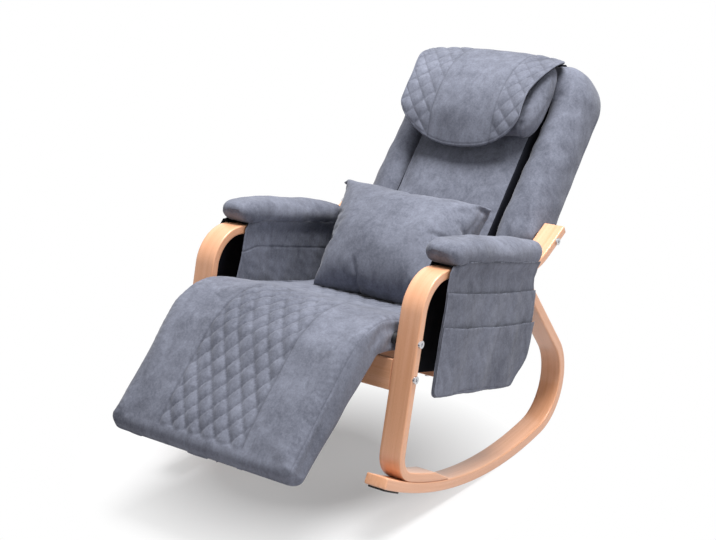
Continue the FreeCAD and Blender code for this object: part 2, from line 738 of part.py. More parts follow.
def back_rear_cover():
    plate = back_outline(BACK_REAR_ROUND, BACK_DEPTH - REAR_COVER + SEAM_GAP, BACK_DEPTH)
    place = inlet_place()
    hole = rod(V(0, 0, place.z), V(0, BACK_DEPTH, place.z), INLET_D / 2 + SEAM_GAP)
    return on_back(plate.cut(hole))


def back_mat():
    half = MAT_WIDTH / 2
    slab = box(-half, half, -MAT_PROUD, MAT_RECESS - HEATER - 2 * SEAM_GAP, MAT_BOTTOM, MAT_TOP)
    return on_back(slab)


def back_heating_pad():
    half = MAT_WIDTH / 2 - MAT_GAP
    sheet = box(-half, half, MAT_RECESS - HEATER - SEAM_GAP, MAT_RECESS - SEAM_GAP, MAT_BOTTOM, MAT_TOP)
    return on_back(sheet)


def back_vibration_motors():
    motor = back_motor(MAT_RECESS, MAT_RECESS + MOTOR_H, MOTOR_D / 2)
    return on_back(group([motor, mirrored(motor)]))


def inlet_place():
    return V(0, BACK_DEPTH, BOX_BOTTOM + BOX_LENGTH / 2)


def control_box():
    rear = BACK_DEPTH - REAR_COVER
    half = BOX_WIDTH / 2
    case = box(-half, half, rear - BOX_DEPTH, rear, BOX_BOTTOM, BOX_BOTTOM + BOX_LENGTH)
    return on_back(case)


def power_inlet():
    place = inlet_place()
    start = V(0, BACK_DEPTH - REAR_COVER, place.z)
    rim = place + V(0, INLET_REACH, 0)
    barrel = rod(start, rim, INLET_D / 2)
    floor = start + V(0, REAR_COVER / 2, 0)
    barrel = barrel.cut(rod(floor, rim, INLET_BORE_D / 2))
    return on_back(joined([barrel, rod(start, place, INLET_PIN_D / 2)]))


# Neck pillow and the padded flap over it

def neck_arc():
    """Circle of the pillow's front: its centre and radius in the depth and height plane."""
    middle = (NECK_BOTTOM + NECK_TOP) / 2
    low = V(0, -NECK_FRONT_BOTTOM, NECK_BOTTOM)
    mid = V(0, -NECK_FRONT_MIDDLE, middle)
    high = V(0, -NECK_FRONT_TOP, NECK_TOP)
    circle = Part.Arc(low, mid, high).toShape().Curve
    return low, mid, high, circle.Center, circle.Radius


def neck_pillow():
    low, mid, high, _, _ = neck_arc()
    rear_low = V(0, -NECK_REAR, NECK_BOTTOM)
    rear_high = V(0, -NECK_REAR, NECK_TOP)
    curves = [
        Part.LineSegment(rear_low, low),
        Part.Arc(low, mid, high),
        Part.LineSegment(high, rear_high),
        Part.LineSegment(rear_high, rear_low),
    ]
    outline = Part.Wire([curve.toShape() for curve in curves])
    outline.translate(V(-NECK_WIDTH / 2, 0, 0))
    pillow = Part.Face(outline).extrude(V(NECK_WIDTH, 0, 0))
    rims = [edge for edge in pillow.Edges if edge.Curve.TypeId == "Part::GeomCircle"]
    pillow = pillow.makeFillet(NECK_ROUND, rims)
    return on_back(pillow.cut(kneading_cavities()))


def neck_flap():
    low, _, high, centre, radius = neck_arc()
    inner = radius + FLAP_CLEAR
    outer = inner + FLAP_THICK
    hem_turn = math.degrees((FLAP_OVERHANG + FLAP_CLEAR) / radius)

    def on_arc(point, distance, degrees):
        ray = (spun(point, centre, degrees) - centre).normalize()
        return centre + ray * distance

    def span(distance):
        ends = (on_arc(low, distance, hem_turn), on_arc(high, distance, 0))
        ray = ((ends[0] + ends[1]) * 0.5 - centre).normalize()
        return Part.Arc(ends[0], centre + ray * distance, ends[1])

    hinge_in = V(0, FLAP_HINGE_BEHIND, BACK_LENGTH + FLAP_HINGE_OVER)
    hinge_out = hinge_in + V(0, 0, FLAP_THICK)
    inside = span(inner)
    outside = span(outer)
    curves = [
        inside,
        Part.LineSegment(inside.EndPoint, hinge_in),
        Part.LineSegment(hinge_in, hinge_out),
        Part.LineSegment(hinge_out, outside.EndPoint),
        outside,
        Part.LineSegment(outside.StartPoint, inside.StartPoint),
    ]
    outline = Part.Wire(Part.__sortEdges__([curve.toShape() for curve in curves]))
    outline.translate(V(-NECK_WIDTH / 2, 0, 0))
    return on_back(Part.Face(outline).extrude(V(NECK_WIDTH, 0, 0)))


def flap_strip():
    half = FLAP_STRIP_WIDTH / 2
    near = FLAP_HINGE_BEHIND + FLAP_HINGE_OVER
    strip = box(-half, half, near, near + FLAP_STRIP_DEPTH, BACK_LENGTH, BACK_LENGTH + FLAP_HINGE_OVER)
    return on_back(strip)


# Kneading unit inside the neck pillow: depths are measured forward from the mat

def kneading_cavities():
    half = CASE_WIDTH / 2 + CAVITY_CLEAR
    front = HEAD_LEVEL + HEAD_THICK + BALL_SINK + BALL_R + CAVITY_CLEAR
    rear = CASE_REAR - FOAM_CLEAR
    low = CASE_BOTTOM - CAVITY_CLEAR
    chamber = box(-half, half, -front, -rear, low, CASE_BOTTOM + CASE_LENGTH + CAVITY_CLEAR)
    radius = KNEAD_MOTOR_D / 2 + FOAM_CLEAR
    foot = MOTOR_TOP - KNEAD_MOTOR_LENGTH - FOAM_CLEAR
    barrel = rod(V(0, -WORM_LEVEL, foot), V(0, -WORM_LEVEL, low), radius)
    return [chamber, barrel]


def case_rear():
    half = CASE_WIDTH / 2
    front = CASE_REAR + CASE_DEPTH
    block = box(-half, half, -front, -CASE_REAR, CASE_BOTTOM, CASE_BOTTOM + CASE_LENGTH)
    room = box(CASE_WALL - half, half - CASE_WALL, -front, -CASE_REAR - CASE_WALL,
               CASE_BOTTOM + CASE_WALL, CASE_BOTTOM + CASE_LENGTH - CASE_WALL)
    hole = rod(V(0, -WORM_LEVEL, CASE_BOTTOM), V(0, -WORM_LEVEL, KNEAD_U), SHAFT_R + RUN_CLEAR)
    return on_back(block.cut([room, hole]))


def case_front():
    half = CASE_WIDTH / 2
    near = CASE_REAR + CASE_DEPTH + SEAM_GAP
    lid = box(-half, half, -near - CASE_LID, -near, CASE_BOTTOM, CASE_BOTTOM + CASE_LENGTH)
    hole = rod(wheel_centre(near), wheel_centre(near + CASE_LID), HUB_R + HUB_CLEAR)
    return on_back(lid.cut([hole, mirrored(hole)]))


def motor_bore(gap):
    low = V(0, -WORM_LEVEL, MOTOR_TOP - KNEAD_MOTOR_LENGTH + KNEAD_MOTOR_WALL + gap)
    high = V(0, -WORM_LEVEL, MOTOR_TOP - KNEAD_MOTOR_WALL - gap)
    return rod(low, high, KNEAD_MOTOR_D / 2 - KNEAD_MOTOR_WALL - gap)


def kneading_motor():
    low = V(0, -WORM_LEVEL, MOTOR_TOP - KNEAD_MOTOR_LENGTH)
    high = V(0, -WORM_LEVEL, MOTOR_TOP)
    can = rod(low, high, KNEAD_MOTOR_D / 2)
    hole = rod(V(0, -WORM_LEVEL, MOTOR_TOP - KNEAD_MOTOR_LENGTH / 2), high, SHAFT_R + RUN_CLEAR)
    return on_back(can.cut([motor_bore(0), hole]))


# The worm is cut on the end of the motor's rotor shaft
def worm_shaft():
    low = MOTOR_TOP - KNEAD_MOTOR_LENGTH / 2
    high = CASE_BOTTOM + CASE_LENGTH - CASE_WALL - SHAFT_TOP_GAP
    shaft = rod(V(0, -WORM_LEVEL, low), V(0, -WORM_LEVEL, high), SHAFT_R)
    first = KNEAD_U - WORM_LENGTH / 2
    worm = rod(V(0, -WORM_LEVEL, first), V(0, -WORM_LEVEL, first + WORM_LENGTH), WORM_R)
    grooves = []
    for turn in range(1, int(WORM_LENGTH / WORM_PITCH)):
        centre = V(0, -WORM_LEVEL, first + turn * WORM_PITCH)
        grooves.append(Part.makeTorus(WORM_R, WORM_GROOVE, centre))
    return on_back(joined([motor_bore(ROTOR_GAP), shaft, worm.cut(grooves)]))


def wheel_centre(level):
    return V(KNEAD_GAUGE / 2, -level, KNEAD_U)


def kneading_wheel():
    flank = [
        (-TOOTH_ROOT_SHARE, TOOTH_H),
        (-TOOTH_TIP_SHARE, 0),
        (TOOTH_TIP_SHARE, 0),
        (TOOTH_ROOT_SHARE, TOOTH_H),
    ]
    points = []
    for tooth in range(WHEEL_TEETH):
        for share, depth in flank:
            radius = WHEEL_R - depth
            angle = 2 * math.pi * (tooth + share) / WHEEL_TEETH
            spoke = V(radius * math.cos(angle), 0, radius * math.sin(angle))
            points.append(wheel_centre(WHEEL_LEVEL) + spoke)
    gear = Part.Face(Part.makePolygon(points + points[:1])).extrude(V(0, -WHEEL_THICK, 0))
    hub = rod(wheel_centre(WHEEL_LEVEL + WHEEL_THICK), wheel_centre(HEAD_LEVEL), HUB_R)
    spindle = rod(wheel_centre(CASE_REAR + CASE_WALL + SEAM_GAP), wheel_centre(WHEEL_LEVEL), SPINDLE_R)
    return on_back(joined([gear, hub, spindle]))


def kneading_head():
    return on_back(rod(wheel_centre(HEAD_LEVEL), wheel_centre(HEAD_LEVEL + HEAD_THICK), HEAD_R))


def kneading_balls():
    face = HEAD_LEVEL + HEAD_THICK
    room = box(0, KNEAD_GAUGE, -face - 2 * BALL_R, -face, KNEAD_U - HEAD_R, KNEAD_U + HEAD_R)
    balls = []
    for side in (-1, 1):
        centre = wheel_centre(face + BALL_SINK) + V(0, 0, side * BALL_ORBIT)
        balls.append(Part.makeSphere(BALL_R, centre).common(room))
    return on_back(group(balls))


# Lumbar pillow

def lumbar_centre_u(level):
    """Height up the back of the pillow's middle at a depth, so that it stands clear of the seat."""
    lean = math.radians(RECLINE)
    seat = (LUMBAR_SEAT_GAP - LUMBAR_MIDDLE * math.sin(lean)) / math.cos(lean)
    return seat + LUMBAR_HEIGHT / 2 + (LUMBAR_MIDDLE - level) * math.tan(lean) * LUMBAR_TILT_SHARE


def lumbar_frame(level, width, height):
    middle = lumbar_centre_u(level)
    corners = [
        V(LUMBAR_X - width / 2, -level, middle - height / 2),
        V(LUMBAR_X + width / 2, -level, middle - height / 2),
        V(LUMBAR_X + width / 2, -level, middle + height / 2),
        V(LUMBAR_X - width / 2, -level, middle + height / 2),
    ]
    return Part.makePolygon(corners + corners[:1])


def lumbar_motor(i, j, extra):
    x = LUMBAR_X + i * LUMBAR_MOTOR_PITCH_X / 2
    u = lumbar_centre_u(LUMBAR_MIDDLE) + j * LUMBAR_MOTOR_PITCH_U / 2
    start = LUMBAR_MIDDLE - MOTOR_H / 2 - extra
    return rod(V(x, -start, u), V(x, -start - MOTOR_H - 2 * extra, u), MOTOR_D / 2 + extra)


def lumbar_heater(extra):
    half = LUMBAR_HEATER_WIDTH / 2 + extra
    tall = LUMBAR_HEATER_HEIGHT / 2 + extra
    u = lumbar_centre_u(LUMBAR_MIDDLE)
    return box(LUMBAR_X - half, LUMBAR_X + half, -LUMBAR_HEATER_LEVEL - HEATER - extra,
               -LUMBAR_HEATER_LEVEL + extra, u - tall, u + tall)


def lumbar_motors(extra):
    return [lumbar_motor(i, j, extra) for i in (-1, 1) for j in (-1, 1)]


def lumbar_pillow():
    frames = [
        lumbar_frame(LUMBAR_REAR, LUMBAR_FACE_WIDTH, LUMBAR_FACE_HEIGHT),
        lumbar_frame(LUMBAR_MIDDLE, LUMBAR_WIDTH, LUMBAR_HEIGHT),
        lumbar_frame(LUMBAR_FRONT, LUMBAR_FACE_WIDTH, LUMBAR_FACE_HEIGHT),
    ]
    pillow = Part.makeLoft(frames, True, True)
    return on_back(pillow.cut(lumbar_motors(MOTOR_CLEAR) + [lumbar_heater(MOTOR_CLEAR)]))


# Arm pads, their bases and the cloth flaps with pockets

def arm_pad():
    half = PAD_WIDTH / 2
    under = PAD_UNDER_Z + SEAM_GAP
    block = box(STRIP_X - half, STRIP_X + half, PAD_FRONT_Y, PAD_REAR_Y, under, under + PAD_HEIGHT)
    tops = [edge for edge in block.Edges if edge.BoundBox.ZMax > under + PAD_HEIGHT / 2]
    block = block.makeFillet(min(PAD_ROUND, PAD_HEIGHT / 3), tops)
    strip = bent_strip(*arm_leg_path(), -1, STRIP_THICK)
    strip.translate(V(0, 0, PAD_LIFT))
    return block.cut(strip)


def pad_base():
    half = BASE_WIDTH / 2
    return box(STRIP_X - half, STRIP_X + half, PAD_FRONT_Y + BASE_INSET, ARM_DIP_Y - BASE_INSET,
               ARM_TOP_Z, PAD_UNDER_Z)


def outer_flap():
    return box(OUTER_X, OUTER_X + FLAP_CLOTH, OUTER_FLAP_FRONT_Y, OUTER_FLAP_REAR_Y,
               PAD_UNDER_Z - OUTER_FLAP_DROP, PAD_UNDER_Z)


def inner_flap():
    x = STRIP_IN - FLAP_STANDOFF
    return box(x - FLAP_CLOTH, x, INNER_FLAP_FRONT_Y, INNER_FLAP_REAR_Y,
               PAD_UNDER_Z - INNER_FLAP_DROP, PAD_UNDER_Z)


def pocket(layer, drop):
    """Open-topped pouch sewn to the flap, or to the pouch behind it: front, two sides and a bottom."""
    step = POCKET_DEPTH + FLAP_CLOTH
    x0 = OUTER_X + FLAP_CLOTH + layer * step + POCKET_SEAM
    x1 = x0 + POCKET_DEPTH
    low = PAD_UNDER_Z - OUTER_FLAP_DROP + POCKET_RISE
    high = PAD_UNDER_Z - drop
    front = OUTER_FLAP_FRONT_Y
    rear = OUTER_FLAP_REAR_Y
    pouch = box(x0, x1 + FLAP_CLOTH - POCKET_SEAM, front, rear, low, high)
    room = box(x0, x1, front + FLAP_CLOTH, rear - FLAP_CLOTH, low + FLAP_CLOTH, high)
    return pouch.cut(room)


SIDE_PIECES = {
    "arm_leg": arm_leg(),
    "rocker": rocker(),
    "rocker_rubber": rocker_rubber(),
    "ratchet_plate": ratchet_plate(),
    "arm_pad": arm_pad(),
    "pad_base": pad_base(),
    "outer_flap": outer_flap(),
    "upper_pocket": pocket(0, UPPER_POCKET_DROP),
    "lower_pocket": pocket(1, LOWER_POCKET_DROP),
    "inner_flap": inner_flap(),
    "kneading_wheel": kneading_wheel(),
    "kneading_head": kneading_head(),
    "kneading_balls": kneading_balls(),
}

MIDDLE_PIECES = {
    "front_rail": front_rail(),
    "seat_rail": seat_rail(),
    "steel_frame": steel_frame(),
    "leg_bolts": both_sides([frame_bolt(place) for place in LEG_BOLTS]),
    "arm_tip_bolts": both_sides([frame_bolt(TIP_BOLT)]),
    "rocker_bolts": both_sides([rocker_bolt(y) for y in rocker_bolt_ys()]),
    "seat_rail_screws": both_sides([seat_rail_screw()]),
    "seat_pad": seat_pad(),
    "seat_dust_cover": seat_dust_cover(),
    "hinge_pins": both_sides([hinge_pin()]),
    "leg_rest_frame": leg_rest_frame(),
    "leg_rest_pad": leg_rest_pad(),
    "leg_rest_dust_cover": leg_rest_dust_cover(),
    "back_shell": back_shell(),
    "back_rear_cover": back_rear_cover(),
    "back_mat": back_mat(),
    "back_heating_pad": back_heating_pad(),
    "back_vibration_motors": back_vibration_motors(),
    "control_box": control_box(),
    "power_inlet": power_inlet(),
    "neck_pillow": neck_pillow(),
    "neck_flap": neck_flap(),
    "flap_strip": flap_strip(),
    "kneading_case_rear": case_rear(),
    "kneading_case_front": case_front(),
    "kneading_motor": kneading_motor(),
    "worm_shaft": worm_shaft(),
    "lumbar_pillow": lumbar_pillow(),
    "lumbar_motors": on_back(group(lumbar_motors(0))),
    "lumbar_heating_pad": on_back(lumbar_heater(0)),
}


def all_pieces():
    pieces = dict(MIDDLE_PIECES)
    for name, shape in SIDE_PIECES.items():
        pieces["left_" + name] = shape
        pieces["right_" + name] = mirrored(shape)
    return {name: turned(shape, -LEAN, 0, ROCKER_R) for name, shape in pieces.items()}


os.makedirs("parts", exist_ok=True)
for node, solid in all_pieces().items():
    solid.exportStep("parts/" + node + ".step")
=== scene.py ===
# %% [markdown]
# # A rocking chair with a massage back
#
# The chair is two bentwood side frames with a steel seat between them, dressed in grey suede.
# The construction is already there as a frame of solids. This lesson puts the looks on it:
# wood that is bent from veneers, padded cushions, hanging cloth and the small hardware.

# %% Load the frame
import json

import bmesh
import bpy
import numpy as np
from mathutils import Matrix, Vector


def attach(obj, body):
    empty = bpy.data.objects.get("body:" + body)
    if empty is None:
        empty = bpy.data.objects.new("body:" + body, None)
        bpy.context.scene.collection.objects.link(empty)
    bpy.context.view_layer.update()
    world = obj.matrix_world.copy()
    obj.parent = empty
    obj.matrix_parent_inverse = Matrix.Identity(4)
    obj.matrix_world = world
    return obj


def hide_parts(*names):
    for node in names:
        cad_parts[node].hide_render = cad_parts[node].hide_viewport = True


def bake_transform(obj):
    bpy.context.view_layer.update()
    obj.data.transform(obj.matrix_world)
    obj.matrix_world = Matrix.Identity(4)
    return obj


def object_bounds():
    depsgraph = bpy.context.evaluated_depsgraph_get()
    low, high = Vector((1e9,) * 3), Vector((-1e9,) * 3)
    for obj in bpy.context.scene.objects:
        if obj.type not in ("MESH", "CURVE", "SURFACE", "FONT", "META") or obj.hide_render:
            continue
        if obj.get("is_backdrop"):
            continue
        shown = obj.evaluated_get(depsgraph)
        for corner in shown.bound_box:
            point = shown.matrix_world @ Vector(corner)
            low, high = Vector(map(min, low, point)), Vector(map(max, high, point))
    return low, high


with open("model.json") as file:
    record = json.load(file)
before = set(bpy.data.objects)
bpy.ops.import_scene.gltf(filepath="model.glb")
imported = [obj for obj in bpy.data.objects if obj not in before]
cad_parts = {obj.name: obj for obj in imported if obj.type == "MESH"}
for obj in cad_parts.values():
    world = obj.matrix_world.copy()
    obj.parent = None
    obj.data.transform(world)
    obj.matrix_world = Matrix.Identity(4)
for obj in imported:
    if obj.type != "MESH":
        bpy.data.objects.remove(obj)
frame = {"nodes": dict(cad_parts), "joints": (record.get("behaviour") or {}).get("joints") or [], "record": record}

CAD_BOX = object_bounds()
JOINTS = {joint["name"]: joint for joint in frame["joints"]}
NODES = frame["nodes"]

# %% [markdown]
# ## Where things are drawn
#
# Nothing on this chair is level: the whole chair leans back on its rockers, the back reclines
# further and the leg rest slopes down. A shape is much easier to describe in a frame of its own,
# so the upright chair and the back each get a place that turns points about X and moves them.

# %% Places
LEAN = 14.0
RECLINE = 27.5
LEG_REST_DROP = 57.5
ROCKER_CENTRE = (0.0, 0.0, 1.0)
CROTCH = (0.0, 0.2135, 0.380)


class Place:
    """A frame turned about X. A point goes out as the turn of (point - pivot), plus the origin."""

    def __init__(self, degrees, origin, pivot=(0.0, 0.0, 0.0)):
        angle = np.radians(degrees)
        c, s = np.cos(angle), np.sin(angle)
        self.turn = np.array([[1, 0, 0], [0, c, -s], [0, s, c]])
        self.origin = np.array(origin)
        self.pivot = np.array(pivot)

    def out(self, points):
        return (points - self.pivot) @ self.turn.T + self.origin

    def into(self, points):
        return (points - self.origin) @ self.turn + self.pivot


UPRIGHT = Place(-LEAN, ROCKER_CENTRE, ROCKER_CENTRE)
BACK = Place(-LEAN - RECLINE, UPRIGHT.out(np.array(CROTCH)))
HINGE = UPRIGHT.into(np.array(JOINTS["leg_rest_tilt"]["pos_m"]))
print("leg rest hinge, drawn upright:", np.round(HINGE, 4))

# %% [markdown]
# ## The camera, the floor and the light
#
# The view is that of the photograph: from the front, 36 degrees towards the sitter's left and a
# little from above. The floor is pale, and turns into plain white away from the chair. Large soft
# lamps stand in for a studio.

# %% Camera, floor and lamps
PHOTO_WIDTH = 716
FOCAL_PIXELS = 1400
SENSOR = 36.0
CAMERA_TARGET = np.array([0.0, -0.1554, 0.4559])
CAMERA_AZIMUTH = np.radians(36.148)
CAMERA_ELEVATION = np.radians(17.621)
CAMERA_DISTANCE = 3.1985
FLOOR_HALF = 30.0
SHADOW_MIDDLE = (-0.06, -0.28, 0.0)
WHITE_FROM = 0.20
WHITE_AT = 0.54
FLOOR_GLOW = 0.28
AMBIENT = 0.25
LAMPS = {
    "overhead": ((0.6, 0.3, 5.0), (0.0, -0.1, 0.4), 2.8, 410.0),
    "front": ((0.3, -3.6, 2.2), (0.0, 0.0, 0.5), 1.6, 8.0),
    "near_side": ((3.4, -0.6, 1.6), (0.0, 0.0, 0.5), 2.0, 34.0),
}


def aim(obj, target):
    """Turn the object so that it looks at the target."""
    obj.rotation_euler = (Vector(target) - obj.location).to_track_quat("-Z", "Y").to_euler()


def add_object(name, data):
    obj = bpy.data.objects.new(name, data)
    bpy.context.scene.collection.objects.link(obj)
    return obj


level = np.cos(CAMERA_ELEVATION)
sideways, forwards = np.sin(CAMERA_AZIMUTH) * level, -np.cos(CAMERA_AZIMUTH) * level
towards = np.array([sideways, forwards, np.sin(CAMERA_ELEVATION)])
camera = add_object("camera", bpy.data.cameras.new("camera"))
camera.data.sensor_width = SENSOR
camera.data.lens = SENSOR * FOCAL_PIXELS / PHOTO_WIDTH
camera.location = CAMERA_TARGET + CAMERA_DISTANCE * towards
aim(camera, CAMERA_TARGET)
bpy.context.scene.camera = camera

for name, (place, target, size, watts) in LAMPS.items():
    lamp = bpy.data.lights.new(name, "AREA")
    lamp.shape = "DISK"
    lamp.size = size
    lamp.energy = watts
    obj = add_object(name, lamp)
    obj.location = place
    aim(obj, target)

bpy.context.scene.view_settings.view_transform = "Standard"
print("lens:", round(camera.data.lens, 2), "camera at", np.round(camera.location, 3))

# %% [markdown]
# ## Shader maths as expressions
#
# A material is a graph of nodes, but most of it is sums and products. This small class wraps one
# socket, so that a line such as `1 - mask * 0.3` adds the nodes it needs. Every other node comes
# from `make`, which sets the node up first and then fills or links its inputs.

# %% A socket that can be added and multiplied


class Field:
    """One socket of a node tree. Arithmetic on it adds Math nodes."""

    def __init__(self, tree, socket=None):
        self.tree = tree
        self.socket = socket

    def make(self, kind, settings=None, inputs=None, output=0):
        node = self.tree.nodes.new(kind)
        for key, value in (settings or {}).items():
            if key == "stops":
                self.set_stops(node.color_ramp.elements, value)
            else:
                setattr(node, key, value)
        for key, value in (inputs or {}).items():
            if isinstance(value, Field):
                self.tree.links.new(value.socket, node.inputs[key])
            else:
                node.inputs[key].default_value = value
        return Field(self.tree, node.outputs[output])

    @staticmethod
    def set_stops(elements, stops):
        while len(elements) < len(stops):
            elements.new(0.5)
        for element, (position, colour) in zip(elements, stops):
            element.position = position
            element.color = (*colour, 1.0)

    def math(self, operation, *values):
        return self.make("ShaderNodeMath", {"operation": operation}, dict(enumerate(values)))

    def __add__(self, other):
        return self.math("ADD", self, other)

    def __mul__(self, other):
        return self.math("MULTIPLY", self, other)

    def __sub__(self, other):
        return self.math("SUBTRACT", self, other)

    def __rsub__(self, other):
        return self.math("SUBTRACT", other, self)

    __radd__ = __add__
    __rmul__ = __mul__

    def clamp(self, low, high):
        """Share of the way from low to high, kept between 0 and 1."""
        limits = {"Value": self, "From Min": low, "From Max": high}
        return self.make("ShaderNodeMapRange", {"clamp": True}, limits)

    def noise(self, vector, scale, detail=2.0, roughness=0.5, distortion=0.0):
        inputs = {"Vector": vector, "Scale": scale, "Detail": detail, "Roughness": roughness}
        return self.make("ShaderNodeTexNoise", None, {**inputs, "Distortion": distortion})

    def stretched(self, vector, scale):
        return self.make("ShaderNodeMapping", None, {"Vector": vector, "Scale": scale})

    def mix(self, share, first, second):
        """Colour that goes from first to second as the share goes from 0 to 1."""
        return self.make("ShaderNodeMix", {"data_type": "RGBA"}, {0: share, 6: first, 7: second}, 2)

    def place(self):
        """Where on its object the shaded point lies."""
        return self.make("ShaderNodeTexCoord", output=3)

    def attribute(self, name):
        return self.make("ShaderNodeAttribute", {"attribute_name": name}, output=2)

    def bump(self, height, strength, distance):
        inputs = {"Height": height, "Strength": strength, "Distance": distance}
        return self.make("ShaderNodeBump", None, inputs)


def material(name, paint, **constants):
    """Material whose even inputs are set on the shader, while paint returns the ones that vary."""
    made = bpy.data.materials.new(name)
    made.use_nodes = True
    shader = made.node_tree.nodes["Principled BSDF"]
    for key, value in constants.items():
        shader.inputs[key.replace("_", " ")].default_value = value
    for key, field in paint(Field(made.node_tree)).items():
        made.node_tree.links.new(field.socket, shader.inputs[key])
    return made


# %% The floor's material and the sky
PAPER = (0.86, 0.855, 0.865, 1)
PAPER_SHADED = (0.40, 0.39, 0.40, 1)
RAYS_SEEN = (0, 3, 6)


def seen_directly(field):
    """1 for a ray from the camera, a mirror or a clear surface, and 0 for light on the chair."""
    kinds = (field.make("ShaderNodeLightPath", output=number) for number in RAYS_SEEN)
    camera_ray, mirrored, through = kinds
    return field.math("MAXIMUM", camera_ray, field.math("MAXIMUM", mirrored, through))


def white_away_from_chair(field):
    """Share of plain white: FLOOR_GLOW under the chair, and 1 at WHITE_AT metres from the middle."""
    place = field.place()
    ends = {0: place, 1: SHADOW_MIDDLE}
    distance = field.make("ShaderNodeVectorMath", {"operation": "DISTANCE"}, ends, 1)
    return FLOOR_GLOW + distance.clamp(WHITE_FROM, WHITE_AT) * (1.0 - FLOOR_GLOW)


def paper_paint(field):
    """Pale where it is seen, darker for the light that it throws back on the chair."""
    return {"Base Color": field.mix(seen_directly(field), PAPER_SHADED, PAPER)}


floor_data = bpy.data.meshes.new("floor")
corner = FLOOR_HALF * np.array([[-1, -1, 0], [1, -1, 0], [1, 1, 0], [-1, 1, 0]])
floor_data.from_pydata(corner, [], [(0, 1, 2, 3)])
floor = add_object("floor", floor_data)
floor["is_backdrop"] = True

paper = material("white_paper", paper_paint, Roughness=0.8)
tree = Field(paper.node_tree)
lit = Field(paper.node_tree, paper.node_tree.nodes["Principled BSDF"].outputs[0])
glow = tree.make("ShaderNodeEmission", None, {"Color": (1, 1, 1, 1), "Strength": 1.0})
share = seen_directly(tree) * white_away_from_chair(tree)
surface_mix = tree.make("ShaderNodeMixShader", None, {0: share, 1: lit, 2: glow})
output = paper.node_tree.nodes["Material Output"]
paper.node_tree.links.new(surface_mix.socket, output.inputs["Surface"])
floor_data.materials.append(paper)

world = bpy.data.worlds.new("studio")
bpy.context.scene.world = world
world.use_nodes = True
sky = Field(world.node_tree)
backdrop = world.node_tree.nodes["Background"]
backdrop.inputs["Color"].default_value = (1.0, 1.0, 1.0, 1)
strength = AMBIENT + seen_directly(sky) * (1.0 - AMBIENT)
world.node_tree.links.new(strength.socket, backdrop.inputs["Strength"])
print("floor and sky are white")

# %% [markdown]
# ## Suede
#
# The covers are a blue-grey microfibre suede. Its nap lies in different directions, so the colour
# is mottled in soft patches, and close up it is a felt of short fibres. Five noises give that, from
# broad clouds over brushed patches to fibres of about a millimetre, which also feed the bump. A
# little sheen lightens it at grazing angles. Sewn lines are darkened with painted shade, from an
# attribute that the pieces keep on their points. The lining is a plain black weave.

# %% Suede and lining
SUEDE_SHADE = (0.087, 0.093, 0.121, 1)
SUEDE_LIGHT = (0.220, 0.234, 0.292, 1)
# Painted shade: the seam colour is laid over the cloth where seams and stitches sink, as shade in the grooves.
SUEDE_SEAM_SHADE = (0.022, 0.023, 0.032, 1)
NAP_RANGE = (0.27, 0.76)
SEAM_SHADE_SHARE = 0.75
CLOUD_SCALE, BRUSH_SCALE, PATCH_SCALE, TUFT_SCALE, FIBRE_SCALE = 5.0, 26.0, 75.0, 210.0, 850.0
LINING_DARK = (0.0045, 0.005, 0.008, 1)
LINING_LIGHT = (0.015, 0.016, 0.023, 1)
WEAVE_SCALE = 900.0


def suede_paint(field):
    """Five noises weighted as the share from the shaded to the light cloth, then darkened by painted seam shade.
    """
    place = field.place()
    clouds = field.noise(place, CLOUD_SCALE, 3.0, 0.55)
    brushed = field.noise(field.stretched(place, (1.0, 1.0, 0.45)), BRUSH_SCALE, 3.0, 0.6, 0.8)
    fibres = field.noise(place, FIBRE_SCALE, 2.0, 0.7)
    tufts = field.noise(place, TUFT_SCALE, 2.0, 0.6)
    patches = field.noise(field.stretched(place, (1.0, 1.0, 0.6)), PATCH_SCALE, 2.0, 0.6, 0.5)
    fine = (fibres - 0.5) * 0.3 + (tufts - 0.5) * 0.36 + (patches - 0.5) * 0.3
    nap = clouds * 0.5 + brushed * 0.5 + fine
    # Painted shade in stitched grooves and hems, and painted shadow along pocket tops and under the arm pads.
    crease = field.attribute("crease")
    cloth = field.mix(nap.clamp(*NAP_RANGE), SUEDE_SHADE, SUEDE_LIGHT)
    colour = field.mix(crease * SEAM_SHADE_SHARE, cloth, SUEDE_SEAM_SHADE)
    felt = field.bump(fibres * 0.7 + tufts * 0.6, 0.35, 0.0006)
    return {"Base Color": colour, "Normal": felt, "Roughness": 0.95 - clouds * 0.12}


def lining_paint(field):
    """Mean of two noises, one stretched upwards and one across, as a weave."""
    place = field.place()
    weave = field.noise(field.stretched(place, (1.0, 1.0, 0.25)), WEAVE_SCALE, 1.0)
    cross = field.noise(field.stretched(place, (0.25, 0.25, 1.0)), WEAVE_SCALE, 1.0)
    cloth = weave * 0.5 + cross * 0.5
    colour = field.mix(cloth.clamp(0.3, 0.7), LINING_DARK, LINING_LIGHT)
    threads = field.bump(cloth, 0.3, 0.0005)
    return {"Base Color": colour, "Normal": threads, "Roughness": 0.75 + cloth * 0.2}


SHEEN = {"Sheen_Weight": 0.16, "Sheen_Roughness": 0.45}
SUEDE = material("grey_suede", suede_paint, **SHEEN, Specular_IOR_Level=0.2)
# The lining is the wrong side of the flaps, and the same black also serves as painted shade in the gap round the
# massage mat.
LINING_AND_GAP_SHADE = material("black_lining", lining_paint, Specular_IOR_Level=0.12)
print("cloth:", SUEDE.name, LINING_AND_GAP_SHADE.name)

# %% [markdown]
# ## Beech
#
# The side frames are glued up from beech veneers and bent in a press, so the grain runs along
# every bend. A picture of wood could not follow that. Instead each strip carries its own map:
# the run along the path and the way across it. The narrow edges show the veneers as fine lines,
# from an attribute that says how deep in the strip a point lies.

# %% Beech, bent or sawn
BEECH_DARK = (0.400, 0.150, 0.060, 1)
BEECH_MID = (0.700, 0.322, 0.160, 1)
BEECH_PALE = (0.880, 0.495, 0.310, 1)
VENEER = 0.0019
STREAKS = (3.5, 130.0, 130.0)
BANDS = (1.2, 26.0, 26.0)
FLECKS = (210.0, 1500.0, 1500.0)
LAYERS = (2.0, 40.0, 1.0)


